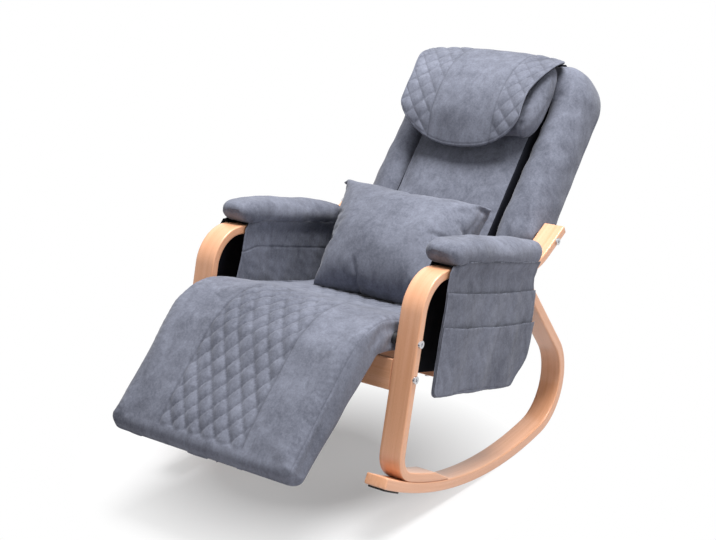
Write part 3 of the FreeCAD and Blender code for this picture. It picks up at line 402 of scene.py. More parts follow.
def grain(field, along):
    """Long streaks, growth bands and short ray flecks, all stretched along the first coordinate."""
    streaks = field.noise(field.stretched(along, STREAKS), 1.0, 4.0, 0.6, 0.4)
    bands = field.noise(field.stretched(along, BANDS), 1.0, 2.0, 0.5, 0.9)
    flecks = field.noise(field.stretched(along, FLECKS), 1.0, 1.0).clamp(0.62, 0.72)
    return streaks, bands, flecks


def beech_colour(field, streaks, bands, flecks):
    """Streaks and bands go from the middle colour to the pale one, and the flecks darken them."""
    tone = (streaks * 0.6 + bands * 0.5).clamp(0.32, 0.78)
    wood = field.mix(tone, BEECH_MID, BEECH_PALE)
    return field.mix(flecks * 0.38, wood, BEECH_DARK)


def bent_beech_paint(field):
    """Grain along the strip's own map. On its edges, a sine wave of the depth darkens the glue lines."""
    along = field.make("ShaderNodeUVMap", {"uv_map": "UVMap"})
    streaks, bands, flecks = grain(field, along)
    depth = field.attribute("depth")
    edge = field.attribute("edge")
    wave = field.math("SINE", depth * (2 * np.pi / VENEER))
    glue = wave.clamp(0.72, 0.98) * edge
    layer = field.noise(field.stretched(along, LAYERS), 1.0, 1.0)
    wood = beech_colour(field, streaks, bands, flecks * (1 - edge * 0.5))
    colour = field.mix(glue * (0.25 + layer * 0.35), wood, BEECH_DARK)
    dents = field.bump(streaks * 0.5 - flecks * 0.5 - glue * 0.8, 0.12, 0.0004)
    return {"Base Color": colour, "Normal": dents, "Roughness": 0.30 + streaks * 0.16}


def sawn_beech_paint(field):
    """The same grain along X, for the straight rails."""
    place = field.place()
    streaks, bands, flecks = grain(field, place)
    colour = beech_colour(field, streaks, bands, flecks)
    dents = field.bump(streaks, 0.1, 0.0004)
    return {"Base Color": colour, "Normal": dents, "Roughness": 0.32 + streaks * 0.15}


BENT_BEECH = material("bent_beech", bent_beech_paint, Coat_Weight=0.6, Coat_Roughness=0.28)
SAWN_BEECH = material("sawn_beech", sawn_beech_paint, Coat_Weight=0.3, Coat_Roughness=0.25)
print("wood:", BENT_BEECH.name, SAWN_BEECH.name)

# %% [markdown]
# ## Steel, rubber and plastic
#
# The hardware is small, but it is what the eye checks for scale. Bright steel gets fine turning
# marks in its roughness, paint and plastic a moulded grain, and rubber a dull speckle.

# %% Hardware finishes


def grained(dark, light, scale, height, rough):
    """Paint for a hard surface: a fine grain that varies colour, roughness and height together."""

    def paint(field):
        place = field.place()
        grit = field.noise(place, scale, 3.0, 0.6)
        smear = field.noise(place, scale * 0.04, 2.0)
        colour = field.mix((grit * 0.6 + smear * 0.4).clamp(0.3, 0.7), dark, light)
        grain_bump = field.bump(grit, 0.25, height)
        return {"Base Color": colour, "Normal": grain_bump, "Roughness": rough + smear * 0.2}

    return paint


# Dark and light colour, scale of the grain, its height, roughness and share of metal.
HARDWARE = {
    "zinc_steel": ((0.50, 0.50, 0.52), (0.72, 0.72, 0.74), 600.0, 0.0001, 0.18, 1.0),
    "black_steel": ((0.012, 0.012, 0.014), (0.03, 0.03, 0.033), 900.0, 0.0002, 0.42, 0.0),
    "black_rubber": ((0.010, 0.010, 0.010), (0.028, 0.028, 0.028), 700.0, 0.0004, 0.7, 0.0),
    "black_plastic": ((0.014, 0.014, 0.016), (0.026, 0.026, 0.030), 1100.0, 0.0003, 0.5, 0.0),
    "motor_metal": ((0.24, 0.25, 0.27), (0.36, 0.37, 0.39), 500.0, 0.0002, 0.35, 0.8),
    "ball_plastic": ((0.55, 0.20, 0.05), (0.66, 0.27, 0.08), 200.0, 0.0001, 0.2, 0.0),
    "heater_cloth": ((0.26, 0.22, 0.17), (0.36, 0.31, 0.25), 500.0, 0.0004, 0.8, 0.0),
}
FINISHES = {"beech": SAWN_BEECH, "grey_suede": SUEDE, "black_lining": LINING_AND_GAP_SHADE}
for name, (dark, light, *grit, metal) in HARDWARE.items():
    FINISHES[name] = material(name, grained((*dark, 1), (*light, 1), *grit), Metallic=metal)
for part in frame["record"]["subparts"]:
    mesh = NODES[part["node"]].data
    mesh.materials.clear()
    mesh.materials.append(FINISHES[part["material_slot"]])
print("finishes:", len(FINISHES))

# %% [markdown]
# ## Grids, rings and tubes
#
# Nearly every piece here is one of two things: a tube, which is a rounded section carried along
# a line, or a leaf, which is a thin sheet with two sides. Both are grids of points worked out
# as whole arrays. A grid repeats its first column at the end, so that the map has a clean seam,
# and the doubled points are welded afterwards.

# %% Mesh helpers
WELD = 1e-5


def surface(name, points, uv, values=None, parts=None):
    """Quads between the neighbours of a grid of points, with values kept as attributes of the points."""
    rows, columns = points.shape[:2]
    index = np.arange(rows * columns).reshape(rows, columns)
    corners = [index[:-1, :-1], index[:-1, 1:], index[1:, 1:], index[1:, :-1]]
    quads = np.stack(corners, axis=-1).reshape(-1, 4)
    mesh = bpy.data.meshes.new(name)
    mesh.from_pydata(points.reshape(-1, 3), [], quads)
    layer = mesh.uv_layers.new(name="UVMap")
    layer.data.foreach_set("uv", uv.reshape(-1, 2)[quads.ravel()].astype(np.float32).ravel())
    for key, value in (values or {}).items():
        held = mesh.attributes.new(key, "FLOAT", "POINT")
        spread = np.broadcast_to(value, (rows, columns))
        held.data.foreach_set("value", spread.astype(np.float32).ravel())
    if parts is not None:
        spread = np.broadcast_to(parts, (rows - 1, columns - 1))
        mesh.polygons.foreach_set("material_index", spread.ravel())
    weld(mesh)
    return add_object(name, mesh)


def weld(mesh):
    """Join doubled points and turn the faces outwards, so that the piece has a positive volume."""
    work = bmesh.new()
    work.from_mesh(mesh)
    bmesh.ops.remove_doubles(work, verts=work.verts, dist=WELD)
    bmesh.ops.dissolve_degenerate(work, edges=work.edges, dist=WELD)
    bmesh.ops.recalc_face_normals(work, faces=work.faces)
    if work.calc_volume(signed=True) < 0:
        bmesh.ops.reverse_faces(work, faces=work.faces)
    work.to_mesh(mesh)
    work.free()
    mesh.shade_smooth()


def numbers(elements, key, width):
    """One value of every element, as rows of the given width."""
    flat = np.empty(len(elements) * width, np.float32)
    elements.foreach_get(key, flat)
    return flat.reshape(-1, width).astype(float)


def places_of(obj):
    return numbers(obj.data.vertices, "co", 3)


def put_places(obj, points):
    obj.data.vertices.foreach_set("co", points.astype(np.float32).ravel())
    obj.data.update()


def value_of(obj, key):
    return numbers(obj.data.attributes[key].data, "value", 1)[:, 0]


def mark(obj, key, values):
    """Keep a value for every point of the finished mesh, for its material to read."""
    kept = obj.data.attributes.new(key, "FLOAT", "POINT")
    kept.data.foreach_set("value", np.clip(values, 0, 1).astype(np.float32))


def emboss(obj, heights):
    """Move every point along its normal by its own height."""
    normals = numbers(obj.data.vertex_normals, "vector", 3)
    put_places(obj, places_of(obj) + normals * heights[:, None])


def refine(obj, levels):
    """Replace the mesh by its smooth subdivision."""
    smooth = obj.modifiers.new("smooth", "SUBSURF")
    smooth.levels = levels
    smooth.render_levels = levels
    shown = obj.evaluated_get(bpy.context.evaluated_depsgraph_get())
    mesh = bpy.data.meshes.new_from_object(shown)
    obj.modifiers.clear()
    obj.data = mesh
    mesh.shade_smooth()


def dress(obj, body, slot, *finishes):
    """Give the piece its finishes and the body it rides on. The slot is not used."""
    for finish in finishes:
        obj.data.materials.append(finish)
    if body:
        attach(obj, body)
    faces = sum(len(face.vertices) - 2 for face in obj.data.polygons)
    print(obj.name, "triangles:", faces)
    return obj


# %% Curves and waves


def smooth_line(controls, count):
    """Line of cubics through a few points, whose slope is half the step between neighbours."""
    points = np.asarray(controls, float)
    padded = np.vstack([2 * points[0] - points[1], points, 2 * points[-1] - points[-2]])
    reach = np.linspace(0, len(points) - 1, count)
    first = np.minimum(reach.astype(int), len(points) - 2)
    t = (reach - first)[:, None]
    a, b, c, d = (padded[first + k] for k in range(4))
    square, cube = 2 * a - 5 * b + 4 * c - d, 3 * b - a - 3 * c + d
    return 0.5 * (2 * b + (c - a) * t + square * t**2 + cube * t**3)


def run_along(line):
    """How far along the line each of its points lies."""
    steps = np.linalg.norm(np.diff(line, axis=0), axis=1)
    return np.concatenate([[0], np.cumsum(steps)])


def at_runs(line, run, wanted):
    """Points of the line at the wanted runs."""
    return np.stack([np.interp(wanted, run, column) for column in line.T], axis=1)


def evenly(line, spacing):
    """The same line with its points about one spacing apart, and the run along it."""
    run = run_along(line)
    even = np.linspace(0, run[-1], max(3, int(run[-1] / spacing)))
    return at_runs(line, run, even), even


def waves(x, y, length, seed, count=9):
    """Soft uneven swell between about -1 and 1: a sum of sine waves in random directions."""
    draw = np.random.default_rng(seed)
    angle = draw.uniform(0, 2 * np.pi, count)
    number = 2 * np.pi / (length * draw.uniform(0.7, 1.6, count))
    phase = draw.uniform(0, 2 * np.pi, count)
    lift = np.zeros(np.broadcast(x, y).shape)
    for a, k, p in zip(angle, number, phase):
        lift += np.sin(k * (x * np.cos(a) + y * np.sin(a)) + p)
    return lift / np.sqrt(count) / 1.4


def ripples(x, y, layers):
    """Sum of swells, each given as its height, wave length and seed."""
    return sum(height * waves(x, y, length, seed) for height, length, seed in layers)


def groove(distance, width):
    """Depth of a sewn line, 1 at the line and falling away as a bell of the given width."""
    return np.exp(-((distance / width) ** 2))


def twin_groove(x, at, width):
    """Sewn lines at the same distance on both sides of the middle."""
    return groove(np.abs(x) - at, width)


def diamonds(across, along, size):
    """Product of two folded sine waves, each 0 along one set of slanting seams."""
    one = across / size[0] + along / size[1]
    other = across / size[0] - along / size[1]
    return np.abs(np.sin(np.pi * one) * np.sin(np.pi * other))


def ease(value, low, high):
    """Smooth step from 0 at low to 1 at high."""
    t = np.clip((value - low) / (high - low), 0, 1)
    return t * t * (3 - 2 * t)


# %% Rounded sections and tubes


def ring(across, upright, corner):
    """Once round a rounded rectangle, from the middle of its underside.

    A row holds how far the point lies towards the side and the top of the straight part, from -1 to 1,
    and the direction in which the corner's radius is added.
    """
    run = np.linspace(-1, 1, across)
    rise = np.linspace(-1, 1, upright)
    bend = np.linspace(0, np.pi / 2, corner)
    one, none = np.ones_like, np.zeros_like
    half = run[run >= 0]
    parts = [
        np.stack([half, -one(half), none(half), -one(half)], 1),
        np.stack([one(bend), -one(bend), np.sin(bend), -np.cos(bend)], 1)[1:],
        np.stack([one(rise), rise, one(rise), none(rise)], 1)[1:],
        np.stack([one(bend), one(bend), np.cos(bend), np.sin(bend)], 1)[1:],
        np.stack([-run, one(run), none(run), one(run)], 1)[1:],
        np.stack([-one(bend), one(bend), -np.sin(bend), np.cos(bend)], 1)[1:],
        np.stack([-one(rise), -rise, -one(rise), none(rise)], 1)[1:],
        np.stack([-one(bend), -one(bend), -np.cos(bend), -np.sin(bend)], 1)[1:],
        np.stack([run, -one(run), none(run), -one(run)], 1)[1:],
    ]
    loop = np.concatenate(parts)
    return loop[: len(loop) - int(np.sum(run > 0))]


def end_rounding(run, radius):
    """How far a section shrinks near both ends, so that they are rounded by the radius."""
    near = np.minimum(run - run[0], run[-1] - run)
    lack = np.clip(1 - near / radius, 0, 1)
    return radius * (1 - np.sqrt(1 - lack**2))


def with_ends(run, radius, count=6):
    """The run with extra stations crowded into the rounded ends."""
    bend = radius * (1 - np.cos(np.linspace(0, np.pi / 2, count)))
    inside = run[(run > run[0] + radius) & (run < run[-1] - radius)]
    return np.concatenate([run[0] + bend, inside, run[-1] - bend[::-1]])


def tube(name, run, middle, up, half_width, half_height, radius, loop, painted_shade_sides=False):
    """Rounded section carried along a line in the side plane, closed at both ends.

    A point is the middle, plus X times its share of the width, plus up times its share of the height.
    """
    sizes = (half_width, half_height, radius)
    wide, tall, bend = (np.broadcast_to(size, run.shape)[:, None] for size in sizes)
    bend = np.minimum(bend, np.minimum(wide, tall))
    sideways = loop[:, 0] * (wide - bend) + loop[:, 2] * bend
    lift = loop[:, 1] * (tall - bend) + loop[:, 3] * bend
    points = middle[:, None, :] + up[:, None, :] * lift[..., None]
    points[..., 0] += sideways
    cap = points[[0, -1]] - up[[0, -1], None, :] * lift[[0, -1], :, None]
    points = np.concatenate([cap[:1], points, cap[1:]])
    ends = [0, *range(len(run)), len(run) - 1]
    girth = run_along(points[len(points) // 2])
    uv = np.stack(np.broadcast_arrays(run[ends][:, None], girth[None, :]), axis=-1)
    values = {
        "run": run[ends][:, None],
        "side": sideways[ends],
        "lift": lift[ends],
        "face": (loop[:, 1] * (np.abs(loop[:, 3]) > 0.5))[None, :],
        "edge": (np.abs(loop[:, 2]) > 0.7).astype(float)[None, :],
        "cap": np.array([1.0] + [0.0] * len(run) + [1.0])[:, None],
    }
    values["depth"] = values["lift"] + tall[ends]
    # The upright sides can take the second material, as painted shade.
    upright = np.abs(loop[:, 2]) > 0.6
    parts = (painted_shade_sides * (upright[1:] & upright[:-1])).astype(int)[None, :]
    return surface(name, points, uv, values, parts)


def in_side_plane(line):
    """Points of the side plane, as (y, z), set at X = 0."""
    return np.column_stack([np.zeros(len(line)), line])


# %% [markdown]
# ## Inflating a pad
#
# A foam or down pad is a bag that pushes outwards. Blender's cloth does that: the skin is a piece
# of cloth, pressure pushes it out, and what is stapled to the frame is held. Twenty frames are
# enough, and no point may move further than a cap, because the real cover hardly stretches.

# %% Pressure in a skin


def inflate(obj, held, pressure, cap, stiffness=15.0, frames=20):
    """Let pressure push the skin out where it isn't held, each point within the cap of its start."""
    scene = bpy.context.scene
    start = places_of(obj)
    skin = add_object("skin", obj.data.copy())
    group = skin.vertex_groups.new(name="held")
    for weight in np.unique(np.round(held, 1)):
        members = np.flatnonzero(np.round(held, 1) == weight)
        group.add(members.tolist(), float(weight), "REPLACE")
    cloth = skin.modifiers.new("cloth", "CLOTH")
    settings = cloth.settings
    settings.quality = 6
    settings.mass = 0.25
    settings.tension_stiffness = stiffness
    settings.compression_stiffness = stiffness
    settings.shear_stiffness = stiffness / 2
    settings.bending_stiffness = 0.4
    settings.use_pressure = True
    settings.uniform_pressure_force = pressure
    settings.effector_weights.gravity = 0
    settings.vertex_group_mass = "held"
    cloth.point_cache.frame_end = frames
    for number in range(1, frames + 1):
        scene.frame_set(number)
    shown = skin.evaluated_get(bpy.context.evaluated_depsgraph_get())
    moved = places_of(shown) - start
    reach = np.linalg.norm(moved, axis=1)
    share = np.minimum(1, cap / np.maximum(reach, 1e-9))
    put_places(obj, start + moved * share[:, None])
    bpy.data.objects.remove(skin)
    scene.frame_set(1)
    print(obj.name, "swelled by up to", round(1000 * float(np.max(reach * share)), 1), "mm")


# %% [markdown]
# ## The bentwood side frames
#
# Each side is two strips. One starts at the foot, turns up into the leg, bends over into the arm
# and rises at its rear tip. The other is the rocker, which curls up behind and runs under the arm.
# A strip is a rounded rectangle carried along a path of straight runs and arcs, drawn upright.

# %% Paths of lines and arcs
SIDES = {"left": 1, "right": -1}
FRAME_X = 0.285
STRIP_WIDTH = 0.054
STRIP_THICK = 0.020
STRIP_ROUND = 0.003
ROCKER_R = 1.0
ROCKER_THICK = 0.024
GLUE_LINE = 0.0002
LEG_FRONT_Y = -0.222
ARM_TOP_Z = 0.493
FOOT_END_Y = -0.008
FOOT_BEND_R = 0.062
TOP_BEND_R = 0.096
ARM_DIP_Y = 0.172
ARM_DIP_R = 0.180
ARM_TIP_ANGLE = 41.0
ARM_TIP_LENGTH = 0.087
FOOT_FEATHER = np.tan(np.radians(16.0))
FOOT_EDGE = 0.003
END_EDGE = 0.0004
ROCKER_FRONT_ANGLE = 15.3
ROCKER_REAR_ANGLE = 23.9
REAR_BEND_R = 0.133
REAR_BEND_TURN = 119.6
UNDER_BEND_R = 0.150
UNDER_RUN = 0.110
PATH_STEP = 0.006


def traced(start, heading, steps):
    """Path of lines (length,) and arcs (radius, turn in degrees), as points, headings and the run.

    A line goes ahead. An arc turns about a centre one radius to the left, or to the right if its turn is
    negative.
    """
    here = np.array(start, float)
    facing = np.radians(heading)
    points, headings = [here[None]], [np.array([facing])]
    for step in steps:
        ahead = np.array([np.cos(facing), np.sin(facing)])
        if len(step) == 1:
            share = np.linspace(0, 1, max(2, int(step[0] / PATH_STEP)))[1:]
            piece = here + ahead * (share * step[0])[:, None]
            angles = np.full(len(share), facing)
        else:
            radius, turn = step[0], np.radians(step[1])
            share = np.linspace(0, 1, max(6, int(radius * abs(turn) / PATH_STEP)))[1:]
            left = np.array([-ahead[1], ahead[0]])
            centre = here + left * np.copysign(radius, turn)
            angles = facing + share * turn
            piece = centre + np.copysign(radius, turn) * np.stack([np.sin(angles), -np.cos(angles)], 1)
        points.append(piece)
        headings.append(angles)
        here, facing = piece[-1], angles[-1]
    line = np.concatenate(points)
    return line, np.concatenate(headings), run_along(line)


def on_rocker(radius, degrees):
    """Point at a radius from the rocker's centre, turned forwards from straight down."""
    turn = np.radians(degrees)
    return np.array([-radius * np.sin(turn), ROCKER_R - radius * np.cos(turn)])


def arm_leg_path():
    """Face of the arm strip: along the rocker, up the leg, over into the arm and up to its tip."""
    foot_r = ROCKER_R - ROCKER_THICK - GLUE_LINE
    first = np.degrees(np.arcsin(-FOOT_END_Y / foot_r))
    bend = np.degrees(np.arcsin(-(LEG_FRONT_Y + FOOT_BEND_R) / (foot_r - FOOT_BEND_R)))
    bend_z = ROCKER_R - (foot_r - FOOT_BEND_R) * np.cos(np.radians(bend))
    steps = [
        (foot_r, first - bend),
        (FOOT_BEND_R, bend - 90),
        (ARM_TOP_Z - TOP_BEND_R - bend_z,),
        (TOP_BEND_R, -90),
        (ARM_DIP_Y - LEG_FRONT_Y - TOP_BEND_R,),
        (ARM_DIP_R, ARM_TIP_ANGLE),
        (ARM_TIP_LENGTH,),
    ]
    return traced(on_rocker(foot_r, first), 180 - first, steps)


def rocker_path():
    """Face of the rocker: its arc, the bend behind, a straight run up to the arm and a bend under it."""
    steps = [
        (ROCKER_R, ROCKER_FRONT_ANGLE + ROCKER_REAR_ANGLE),
        (REAR_BEND_R, REAR_BEND_TURN),
    ]
    start = on_rocker(ROCKER_R, ROCKER_FRONT_ANGLE)
    line, _, _ = traced(start, -ROCKER_FRONT_ANGLE, steps)
    heading = ROCKER_REAR_ANGLE + REAR_BEND_TURN
    last = 180 - heading
    rise = ARM_TOP_Z - STRIP_THICK - GLUE_LINE - line[-1, 1]
    rise = rise - UNDER_BEND_R * (1 - np.cos(np.radians(last)))
    steps += [(rise / np.sin(np.radians(heading)),), (UNDER_BEND_R, last), (UNDER_RUN,)]
    return traced(start, -ROCKER_FRONT_ANGLE, steps)


# %% Strips


def bent_strip(name, path, wall, thick, feather=None):
    """Strip whose face follows the path and whose wall lies to the left (1) or the right (-1) of it."""
    line, headings, dense = path
    run = with_ends(dense, STRIP_ROUND)
    face = at_runs(line, dense, run)
    angle = np.interp(run, dense, headings)
    inward = wall * np.stack([-np.sin(angle), np.cos(angle)], 1)
    depth = np.full(len(run), thick)
    if feather:
        depth = np.minimum(thick, FOOT_EDGE + run * feather)
    lack = end_rounding(run, STRIP_ROUND)
    middle = face + inward * depth[:, None] / 2
    half = np.maximum(depth / 2 - lack * depth / thick, END_EDGE)
    middle, up = in_side_plane(middle), in_side_plane(-inward)
    return tube(name, run, middle, up, STRIP_WIDTH / 2 - lack, half, STRIP_ROUND, ring(9, 6, 5))


for side, sign in SIDES.items():
    strips = {
        "arm_leg": bent_strip(side + "_bent_arm", arm_leg_path(), -1, STRIP_THICK, FOOT_FEATHER),
        "rocker": bent_strip(side + "_bent_rocker", rocker_path(), 1, ROCKER_THICK),
    }
    for node, strip in strips.items():
        put_places(strip, UPRIGHT.out(places_of(strip) + [sign * FRAME_X, 0, 0]))
        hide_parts(side + "_" + node)
        dress(strip, "chair", "beech", BENT_BEECH)

# %% [markdown]
# ## The seat and the leg rest
#
# One cover runs from under the back, over the front of the seat and down the leg rest, so it is
# one skin. Its top follows a line, an arc and a line, its underside a second path, and the section
# between them is a rounded box. Down the middle lies a quilted band of diamonds, between two sewn
# lines. The quilting is a formula on the run and the way across.

# %% Seat cover
SEAT_HALF = 0.238
LEG_HALF = 0.250
SEAT_TOP_Z = 0.3785
SEAT_UNDER_Z = 0.308
SEAT_REAR_Y = 0.205
SEAT_DIP = 0.013
LEG_TOP = 0.067
LEG_LENGTH = 0.340
LEG_UNDER_ROOT = -0.012
LEG_UNDER_END = 0.016
KNEE_R = 0.150
PAD_CORNER = 0.010
PAD_END = 0.021
QUILT_HALF = 0.112
DIAMOND = (0.040, 0.060)
QUILT_START = 0.06
QUILT_PUFF = 0.0075
QUILT_POWER = 0.4
QUILT_MEAN = 0.70
QUILT_END_GAP = 0.022
STITCH_SHARE = 0.10
PAD_STEP = 0.0135
WELT = 0.0030
WELT_INSET = 0.005
WIDENING = (-0.22, -0.04)
UNDER_STOPS = (-0.02, 0.05, 0.15)
RAIL_REACH = 0.06
ROOT_RUN = 0.05
NOTCH = np.array([0.012, -0.004])
PUCKER_STEP = 0.016
PUCKER_HEIGHT = 0.0004
BAND_DEPTH = 0.0022
WELT_DEPTH = 0.0014
ARCH_HEIGHT = 0.004
UNDER_RIPPLE = 0.0010
SEAT_SWELL = ((0.0018, 0.16, 7), (0.0008, 0.06, 8))


def knee_corner():
    """Where the top lines of seat and leg rest would meet, drawn upright, with the tangent's length."""
    slope = np.radians(LEG_REST_DROP)
    down = np.array([-np.cos(slope), -np.sin(slope)])
    out = np.array([-np.sin(slope), np.cos(slope)])
    foot = HINGE[1:] + out * LEG_TOP
    back_up = (foot[1] - SEAT_TOP_Z) / down[1]
    return foot - down * back_up, KNEE_R * np.tan(slope / 2), back_up, down, out


def seat_lines():
    """Top line and underside of the cover, as two lines of equally many points of the side plane."""
    corner, tangent, back_up, down, out = knee_corner()
    flat = SEAT_REAR_Y - corner[0] - tangent
    slope = LEG_LENGTH + back_up - tangent
    steps = [(flat,), (KNEE_R, LEG_REST_DROP), (slope,)]
    line, _, run = traced((SEAT_REAR_Y, SEAT_TOP_Z), 180, steps)
    even = with_ends(np.linspace(0, run[-1], int(run[-1] / PAD_STEP)), PAD_END, 5)
    top = at_runs(line, run, even)
    hinge = HINGE[1:]
    ends = hinge + down * LEG_LENGTH + out * LEG_UNDER_END
    root = hinge + down * ROOT_RUN + out * LEG_UNDER_ROOT
    level = np.array([[SEAT_REAR_Y, SEAT_UNDER_Z], [hinge[0] + RAIL_REACH, SEAT_UNDER_Z]])
    bottom = np.vstack([level, [hinge[0], SEAT_UNDER_Z] + NOTCH, root, ends])
    stops = [0, *(flat + np.array(UNDER_STOPS)), run[-1]]
    return even, top, at_runs(bottom, stops, even), flat, run[-1]


def seat_half_width(run, flat):
    """Half the width of the cover, which grows from the seat's to the leg rest's before the knee."""
    return SEAT_HALF + (LEG_HALF - SEAT_HALF) * ease(run, flat + WIDENING[0], flat + WIDENING[1])


def quilting(across, run, first, last):
    """Height of the diamonds about its mean and where their seams are, both 0 outside the band."""
    puff = diamonds(across, run, DIAMOND)
    band = ease(QUILT_HALF - np.abs(across), -0.002, 0.006) * ease(run, first, first + 0.01)
    band = band * ease(last - run, 0.0, 0.01)
    return (puff**QUILT_POWER - QUILT_MEAN) * band, groove(puff, STITCH_SHARE) * band


def seat_cover():
    """Tube between the two lines, swelled by pressure, then dipped under the sitter and quilted."""
    run, top, under, flat, length = seat_lines()
    reach = np.linalg.norm(top - under, axis=1)
    up = in_side_plane((top - under) / reach[:, None])
    lack = end_rounding(run, PAD_END)
    middle = in_side_plane((top + under) / 2)
    half = seat_half_width(run, flat) - lack
    cover = tube("seat_cover", run, middle, up, half, reach / 2 - lack, PAD_CORNER, ring(35, 6, 4))
    face, cap, s = (value_of(cover, key) for key in ("face", "cap", "run"))
    held = np.where((face < -0.2) | (cap > 0.3) | (s < 0.02), 1.0, 0.0)
    inflate(cover, held, 4.0, 0.004)
    refine(cover, 2)
    s, x, lift = (value_of(cover, key) for key in ("run", "side", "lift"))
    face = np.clip(value_of(cover, "face"), 0, 1)
    points = places_of(cover)
    points[:, 2] -= face * SEAT_DIP * ease(flat + 0.02 - s, 0.0, 0.20)
    put_places(cover, points)
    rim = np.abs(np.abs(x) - seat_half_width(s, flat) + WELT_INSET)
    top = ease(face, 0.6, 0.95)
    welt = groove(rim, WELT) * top
    band = twin_groove(x, QUILT_HALF, WELT) * ease(length - QUILT_END_GAP - s, 0, 0.01)
    quilt, stitched = quilting(x, s, QUILT_START, length - QUILT_END_GAP)
    soft = 0.45 + 0.55 * ease(s, flat - 0.06, flat + 0.06)
    puckers = np.sin(2 * np.pi * s / PUCKER_STEP + 3 * waves(s, x, 0.09, 4))
    puckers = puckers * groove(rim - 0.012, 0.012)
    arch = ARCH_HEIGHT * (1 - (x / LEG_HALF) ** 2)
    sewn = -BAND_DEPTH * band - WELT_DEPTH * welt + PUCKER_HEIGHT * puckers
    height = top * (QUILT_PUFF * soft * quilt + arch + sewn + ripples(s, x, SEAT_SWELL))
    emboss(cover, height + (1 - face) * UNDER_RIPPLE * waves(s, lift, 0.08, 9))
    # Painted shade in the quilting's stitched grooves, the two sewn band lines and the welt.
    dark = np.maximum(0.45 * soft * stitched, np.maximum(0.5 * band, 0.35 * welt))
    mark(cover, "crease", top * dark)
    put_places(cover, UPRIGHT.out(places_of(cover)))
    return cover


cover = seat_cover()
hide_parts("seat_pad", "leg_rest_pad")
dress(cover, None, "grey_suede", SUEDE)
corner, tangent, _, leg_down, _ = knee_corner()
bend_start = UPRIGHT.out(np.array([0, corner[0] + tangent * 0.85, corner[1]]))
bend_end = UPRIGHT.out(np.array([0, *(corner + leg_down * tangent * 1.05)]))
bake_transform(cover)

# %% [markdown]
# ## The back
#
# The back is a deep cushion with large round top corners. Its front is a puffed border around a
# flat massage mat, with a gap between them whose black walls are painted shade. The border is a
# profile carried once round two outlines: a share of 0 lies on the outer one and a share of 1 on
# the inner one.

# %% Back cushion
BACK_HALF = 0.247
BACK_LENGTH = 0.685
BACK_TOP_R = 0.092
BACK_FOOT_R = 0.03
BACK_DEPTH = 0.112
GAP_HALF = 0.157
GAP_LOW = 0.006
GAP_HIGH = 0.572
GAP_R = 0.02
BORDER = [
    (0.50, -BACK_DEPTH), (0.16, -BACK_DEPTH), (0.04, -0.108), (-0.02, -0.092), (-0.04, -0.062),
    (-0.01, -0.030), (0.10, -0.002), (0.30, 0.012), (0.55, 0.013), (0.80, 0.004), (0.95, -0.006),
    (1.00, -0.016), (1.00, -0.030),
]
BACK_SWELL = ((0.0030, 0.22, 21), (0.0012, 0.07, 22))
BACK_SEAM_ROW = 0.26
BACK_SEAM_DEPTH = 0.0025
GAP_SHADE_ROWS = 4
STUB_UP = 0.210
STUB_DEPTH = -0.014
STUB_REACH = 0.028
STUB_SWELL = 0.016
STUB_INNER = 0.200
ARM_INNER = FRAME_X - STRIP_WIDTH / 2 - 0.0005


def outline(half, low, high, low_r, high_r, straight=26, corner=12):
    """Once round a rectangle with round corners, as (x, u). Every outline has equally many points."""
    bend = np.linspace(0, np.pi / 2, corner)
    turn = np.stack([np.cos(bend), np.sin(bend)], 1)
    quarter = np.array([[0, -1], [1, 0]])
    share = np.linspace(0, 1, straight)[1:-1, None]
    centres = [
        (half - low_r, low + low_r, low_r), (half - high_r, high - high_r, high_r),
        (high_r - half, high - high_r, high_r), (low_r - half, low + low_r, low_r),
    ]
    arcs = []
    for number, (x, u, r) in enumerate(centres):
        arcs.append(np.array([x, u]) + r * turn @ np.linalg.matrix_power(quarter, 3 + number).T)
    loop = []
    for arc, following in zip(arcs, arcs[1:] + arcs[:1]):
        loop += [arc, arc[-1] + share * (following[0] - arc[-1])]
    loop = np.concatenate(loop)
    return np.concatenate([loop, loop[:1]])


def on_back(x, u, d):
    """Points of the back from the way across, the way up and the depth in front of the mat's plane."""
    return BACK.out(np.stack(np.broadcast_arrays(x, -np.asarray(d), u), axis=-1))


def cover_stubs(back):
    """Swell the sides as a bell about each of the frame's two stubs, pressed flat against the arms."""
    local = BACK.into(places_of(back))
    far = np.hypot(local[:, 2] - STUB_UP, local[:, 1] + STUB_DEPTH)
    swell = STUB_SWELL * groove(far, STUB_REACH) * (np.abs(local[:, 0]) > STUB_INNER)
    emboss(back, swell)
    local = BACK.into(places_of(back))
    pressed = np.clip(local[:, 0], -ARM_INNER, ARM_INNER)
    local[:, 0] = np.where(swell > STUB_SWELL / 20, pressed, local[:, 0])
    put_places(back, BACK.out(local))


